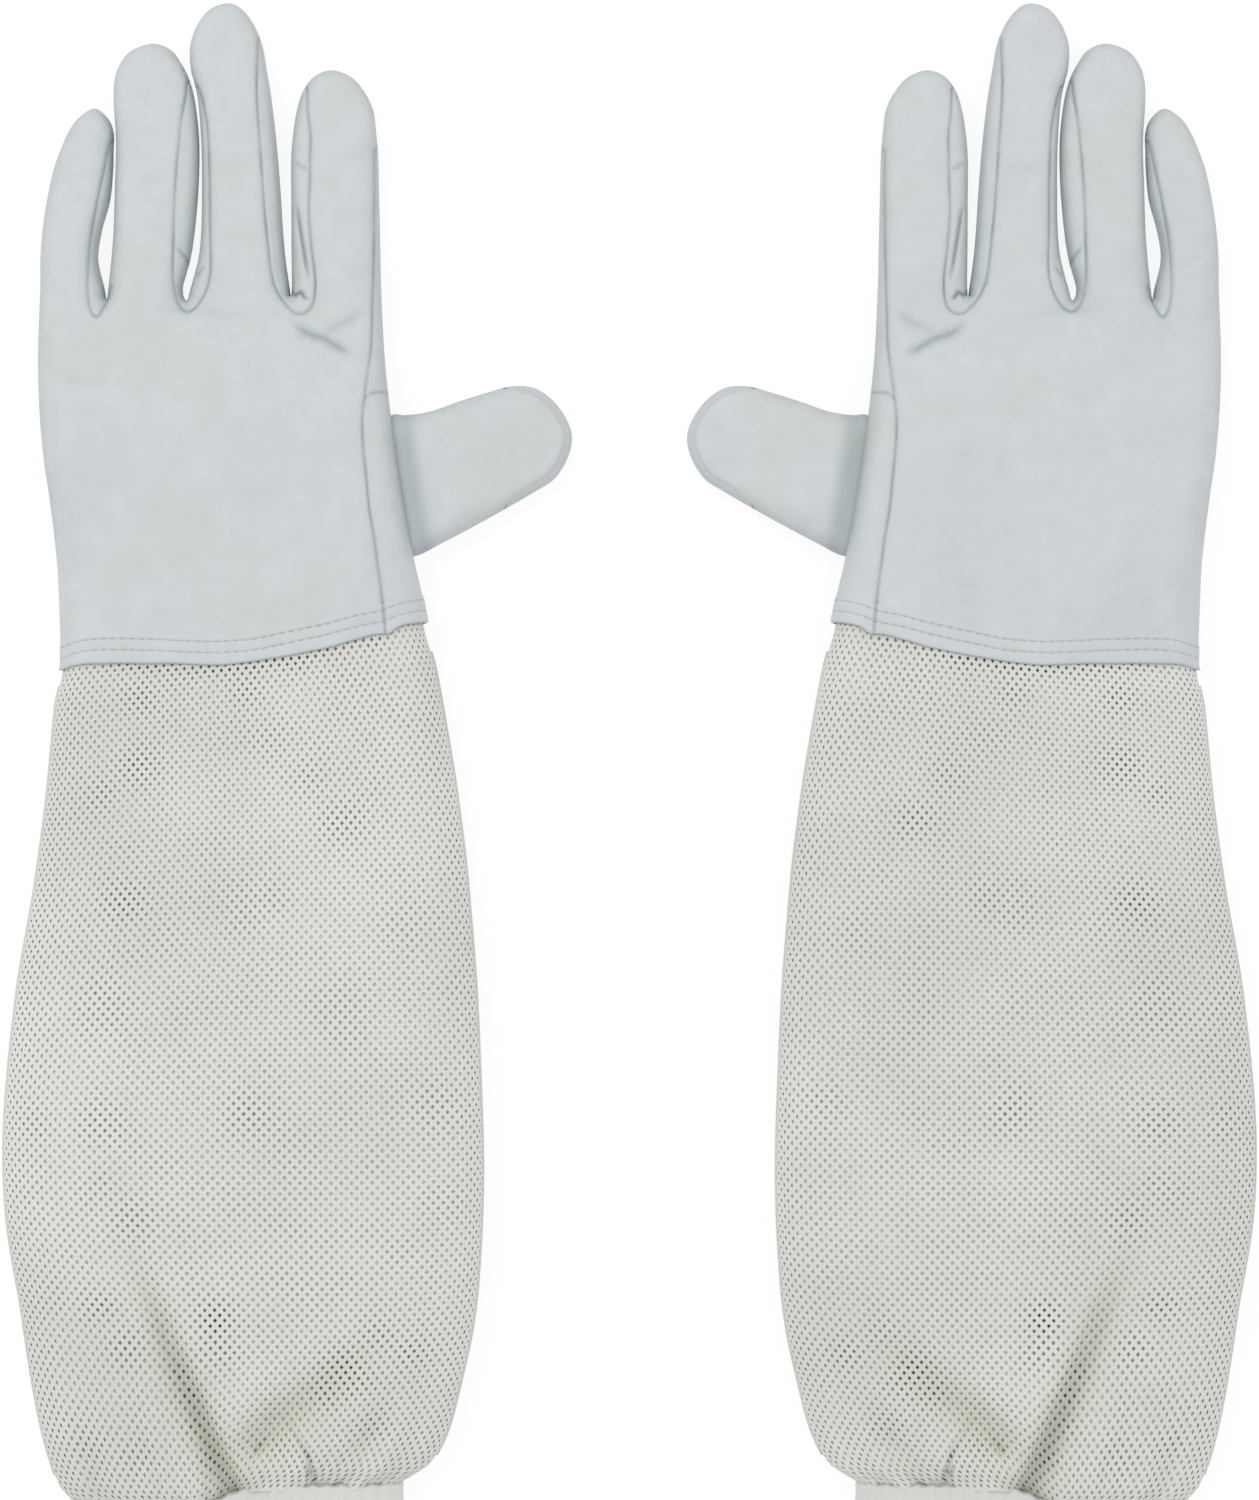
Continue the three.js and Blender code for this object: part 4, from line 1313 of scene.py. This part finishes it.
def net_panel(verts, normals, fields):
    """A net with real holes over a grid of points at half the holes' spacing: a closed solid."""
    height, width, _ = verts.shape
    flat, outward = verts.reshape(-1, 3), normals.reshape(-1, 3)
    centres, corners, half = net_faces(height, width)
    used = np.union1d(np.unique(corners), np.unique(half))
    new = np.full(len(flat), -1)
    new[used] = np.arange(len(used))
    size = (HOLE * (0.7 + 0.3 * np.abs(outward[centres][:, 2])))[:, None, None]
    hole = flat[centres][:, None] + size * (flat[corners] - flat[centres][:, None])
    grid_uv = np.stack(np.meshgrid(np.linspace(0, 1, width), np.linspace(0, 1, height)), -1).reshape(-1, 2)
    hole_uv = grid_uv[centres][:, None] + size * (grid_uv[corners] - grid_uv[centres][:, None])
    outer = np.vstack([flat[used], hole.reshape(-1, 3)])
    normal = np.vstack([outward[used], np.repeat(outward[centres], 4, 0)])
    uv = np.vstack([grid_uv[used], hole_uv.reshape(-1, 2)])
    rim = len(used) + np.arange(len(centres) * 4).reshape(-1, 4)
    q = new[corners]
    quads = [np.stack([q[:, k], q[:, (k + 1) % 4], rim[:, (k + 1) % 4], rim[:, k]], 1) for k in range(4)]
    top = [tuple(f) for f in np.vstack(quads)] + [tuple(f) for f in new[half]]
    a, b, c = (outer[top[0][k]] for k in range(3))
    if np.dot(np.cross(b - a, c - a), normal[top[0][0]]) < 0:
        top = [tuple(reversed(f)) for f in top]
    count = len(outer)
    edges = {(f[k], f[(k + 1) % len(f)]) for f in top for k in range(len(f))}
    walls = [(b, a, a + count, b + count) for a, b in sorted(edges) if (b, a) not in edges]
    faces = top + [tuple(x + count for x in reversed(f)) for f in top] + walls
    # the net's upper side takes the left half of the bake's map and its underside the right half
    left, right = uv * [0.49, 0.98] + [0.005, 0.01], uv * [0.49, 0.98] + [0.505, 0.01]
    both = np.vstack([left, right])
    corner_uv = [both[list(f)] for f in faces[: 2 * len(top)]]
    corner_uv += [left[[x % count for x in f]] for f in walls]
    values = {}
    for key in ("shade", "fold_shade_tint"):
        flat_field = fields[key].reshape(-1)
        values[key] = np.concatenate([flat_field[used], np.repeat(flat_field[centres], 4)] * 2)
    verts = np.vstack([outer, outer - normal * NET_THICK])
    return verts, faces, np.vstack([normal, -normal]), values, np.vstack(corner_uv)


def build_sleeve(glove):
    columns = 2 * NET_COLUMNS
    verts, normals, fields = sleeve_surface(glove, 2 * NET_ROWS, columns)
    wrap, wrap_normals = closed_round(verts), closed_round(normals)
    wrap_fields = {key: closed_round(value) for key, value in fields.items()}
    made = []
    for name, part in (("upper", slice(0, columns + 1)), ("lower", slice(columns, 2 * columns + 1))):
        v, faces, n, values, corners = net_panel(wrap[:, part], wrap_normals[:, part],
                                                 {key: value[:, part] for key, value in wrap_fields.items()})
        o = glove.add(f"sleeve_outer_net_{name}", v, faces, "net", "net_fabric", n, values, None,
                      ["sleeve_outer_net"] if name == "upper" else [], corners)
        made.append(o)
    for name, gap, thick, material, slot, step, flat in (
        ("sleeve_spacer", SPACER_GAP, SPACER_THICK, "spacer", "spacer_fabric", 1, 0.364),
        ("sleeve_inner_net", LINING_GAP, LINING_THICK, "lining", "net_fabric", 2, 0.356),
    ):
        outer = verts[::step, ::step] - normals[::step, ::step] * gap
        inner = verts[::step, ::step] - normals[::step, ::step] * (gap + thick)
        outer[..., 2] = np.maximum(outer[..., 2], 0.02 + gap)
        inner[..., 2] = np.maximum(inner[..., 2], 0.02 + gap + thick)
        v, faces = thick_tube(outer, inner)
        # the spacer takes the painted shade seen through the holes, the lining the folds' painted shade
        dark = fields["hole_shade"] if name == "sleeve_spacer" else fields["shade"]
        values = {"shade": np.concatenate([dark[::step, ::step].ravel()] * 2),
                  "fold_shade_tint": np.concatenate([fields["fold_shade_tint"][::step, ::step].ravel()] * 2)}
        o = glove.add(name, v, faces, material, slot, None, values, None, [name])
        made.append(o)
    # a sewn ridge along each side of the sleeve, where its two halves meet
    for name, column in (("outer", 0), ("inner", columns)):
        v, faces = ridge(wrap[10:-5:2, column], 0.6, 8)
        values = {"shade": np.full(len(v), 0.1)}
        made.append(glove.add(f"sleeve_{name}_seam", v, faces, "net", "net_fabric", None, values, None))
    for o in made:
        glove.bend(o, "sleeve", (WRIST_CENTRE[0], -111.0), (WRIST_CENTRE[0] + 4.5, -149.0))


def ridge(line, radius, sides):
    """A thin round cord of fabric along a line."""
    t = np.gradient(line, axis=0)
    t /= np.linalg.norm(t, axis=1, keepdims=True)
    up = np.array([0, 0, 1.0])
    a = np.cross(t, up)
    a /= np.linalg.norm(a, axis=1, keepdims=True)
    b = np.cross(a, t)
    angles = (2 * math.pi * np.arange(sides) / sides)[None, :, None]
    rings = line[:, None] + radius * (np.cos(angles) * a[:, None] + np.sin(angles) * b[:, None])
    rows = len(line)
    faces = grid_faces(rows, sides)
    faces += [tuple(reversed(range(sides))), tuple((rows - 1) * sides + k for k in range(sides))]
    return rings.reshape(-1, 3), faces


CUFF_COLUMNS = 150
CUFF_OUTER = [
    (-1.9, -0.4), (-1.5, 0.75), (-0.8, 1.25), (0.2, 1.35), (1.4, 1.2), (3.0, 1.35), (5.0, 1.4), (6.8, 1.2),
    (8.2, 0.6), (8.9, 0.1), (9.6, 0.5), (10.6, 1.3), (11.6, 2.0), (12.3, 2.5), (12.7, 2.7),
]
BAND = [(1.2, -0.5), (1.6, -0.2), (3.0, -0.05), (5.0, -0.05), (6.6, -0.2), (7.0, -0.5)]
CUFF_CHANNEL = 8.9  # how far down the casing's sewn channel is


def cuff_ring(glove, down, out, inward=0.0):
    """A ring of the cuff, down from the sleeve's end and out from where the net is gathered in."""
    centre, across, half, height = sleeve_ring(1.0)
    ring, normal = section(half - END_TUCK, height - 2 * END_TUCK, CUFF_COLUMNS, 0.6 * half)
    s = round_ring(CUFF_COLUMNS)
    upper = np.arange(2 * CUFF_COLUMNS) < CUFF_COLUMNS
    wander = Noise(glove.seed + 51, 0.4)
    phase = 2 * math.pi * 12 * s + 2.1 * wander(s, 0.8) + np.where(upper, 0, 1.5)
    ripple = np.sin(phase / 2) ** 2 - 0.5
    frill = smoothstep(8.5, 12.7, down)
    sides = smoothstep(1.02, 0.85, np.abs(s)) * np.where(upper, 1, 0.5)
    size = (0.6 + 1.0 * frill) * sides
    q = ring + normal * (out + ripple * size - inward)[:, None]
    q[:, 1] = np.maximum(q[:, 1] + END_TUCK, 0.02 + inward)
    scallop = -0.6 * ripple * frill + 0.7 * ripple * sides * smoothstep(1.5, -1.5, down)
    plan = centre + q[:, :1] * across + np.outer(scallop - down, [-across[1], across[0]])
    plan[:, 1] += droop(plan[:, 0])
    return np.column_stack([plan, q[:, 1]])


def build_cuff(glove):
    """The plain casing below the gathers, with the elastic inside it and a short frill."""
    outer = np.array([cuff_ring(glove, d, o) for d, o in CUFF_OUTER])
    inner = np.array([cuff_ring(glove, d, o, 0.55) for d, o in CUFF_OUTER])
    v, faces = thick_tube(outer, inner)
    shade = np.zeros(outer.shape[:2])
    for i, (down, _) in enumerate(CUFF_OUTER):
        # a painted shadow line along the casing's upper edge, where the net goes into it, and the sewn
        # channel darker
        shade[i] = 0.45 if down < -1.4 else (0.3 if abs(down - CUFF_CHANNEL) < 0.5 else 0.03)
    fields = {"shade": np.concatenate([shade.ravel()] * 2)}
    o = glove.add("elastic_casing", v, faces, "casing", "casing_fabric", None, fields, "sleeve",
                  ["elastic_casing"])
    outer = np.array([cuff_ring(glove, d, o) for d, o in BAND])
    inner = np.array([cuff_ring(glove, d, o, 0.8) for d, o in BAND])
    v, faces = thick_tube(outer, inner)
    glove.add("elastic_band", v, faces, "elastic", "elastic", None, None, "sleeve", ["elastic_band"])
    # stitches that hold the elastic, along the casing's lower channel
    ring = cuff_ring(glove, CUFF_CHANNEL, 0.22)
    centre, _, _, height = sleeve_ring(1.0)
    centres, directions, ups = [], [], []
    for j in range(0, 2 * CUFF_COLUMNS, 2):
        a, b = ring[j], ring[(j + 1) % (2 * CUFF_COLUMNS)]
        if a[2] < 1.2:
            continue
        t = (b - a) / np.linalg.norm(b - a)
        out = np.array([a[0] - centre[0], 0, (a[2] - height / 2) * 6])
        out -= t * np.dot(out, t)
        centres.append((a + b) / 2)
        directions.append(t)
        ups.append(out / np.linalg.norm(out))
    v, faces = capsules(centres, directions, ups, 1.45, 0.2, 5)
    glove.add("cuff_stitches", v, faces, "thread", "casing_fabric", None, None, "sleeve")


# ---- Both gloves -----------------------------------------------------------------------

HAND, HAND_LINES = hand_plan()
THUMB, THUMB_SEAM = thumb_plan()
for side in ("left", "right"):
    glove = Glove(side, 11)
    build_hand(glove, HAND, HAND_LINES)
    build_thumb(glove, THUMB, THUMB_SEAM)
    build_hem(glove)
    build_stitches(glove)
    build_sleeve(glove)
    build_cuff(glove)

# ---- Floor, light and camera -----------------------------------------------------------

scene = bpy.context.scene
bpy.ops.mesh.primitive_plane_add(size=60)
floor = bpy.context.object
floor.name = "floor"
floor_material = Nodes("pale_floor")
for key, value in (
    ("Base Color", (0.16, 0.16, 0.16, 1)),
    ("Roughness", 0.9),
    ("Specular IOR Level", 0.0),
    ("Emission Color", (1, 1, 1, 1)),
    ("Emission Strength", 0.85),
):
    floor_material.shader.inputs[key].default_value = value
floor.data.materials.append(floor_material.material)

world = bpy.data.worlds.new("studio")
scene.world = world
world.use_nodes = True
world.node_tree.nodes["Background"].inputs[0].default_value = (1, 1, 1, 1)
world.node_tree.nodes["Background"].inputs[1].default_value = 0.85
scene.view_settings.view_transform = "Standard"
scene.view_settings.look = "None"

for name, place, size, power in (("key", (-1.3, 1.1, 2.4), 1.7, 21.0), ("fill", (1.6, 0.2, 2.2), 2.0, 8.5)):
    lamp = bpy.data.lights.new(name, "AREA")
    lamp.shape = "SQUARE"
    lamp.size = size
    lamp.energy = power
    o = bpy.data.objects.new(name, lamp)
    scene.collection.objects.link(o)
    o.location = place
    o.rotation_euler = (-Vector(place)).to_track_quat("-Z", "Y").to_euler()

camera_data = bpy.data.cameras.new("camera")
camera_data.lens = 100
camera_data.sensor_width = 36
camera = bpy.data.objects.new("camera", camera_data)
scene.collection.objects.link(camera)
VIEW_HEIGHT = 0.507  # of the picture, at the height of the gloves' edges
EDGE_Z = 0.010
camera.location = (0, 0.005, EDGE_Z + VIEW_HEIGHT * camera_data.lens / camera_data.sensor_width)
scene.camera = camera

bpy.context.view_layer.update()
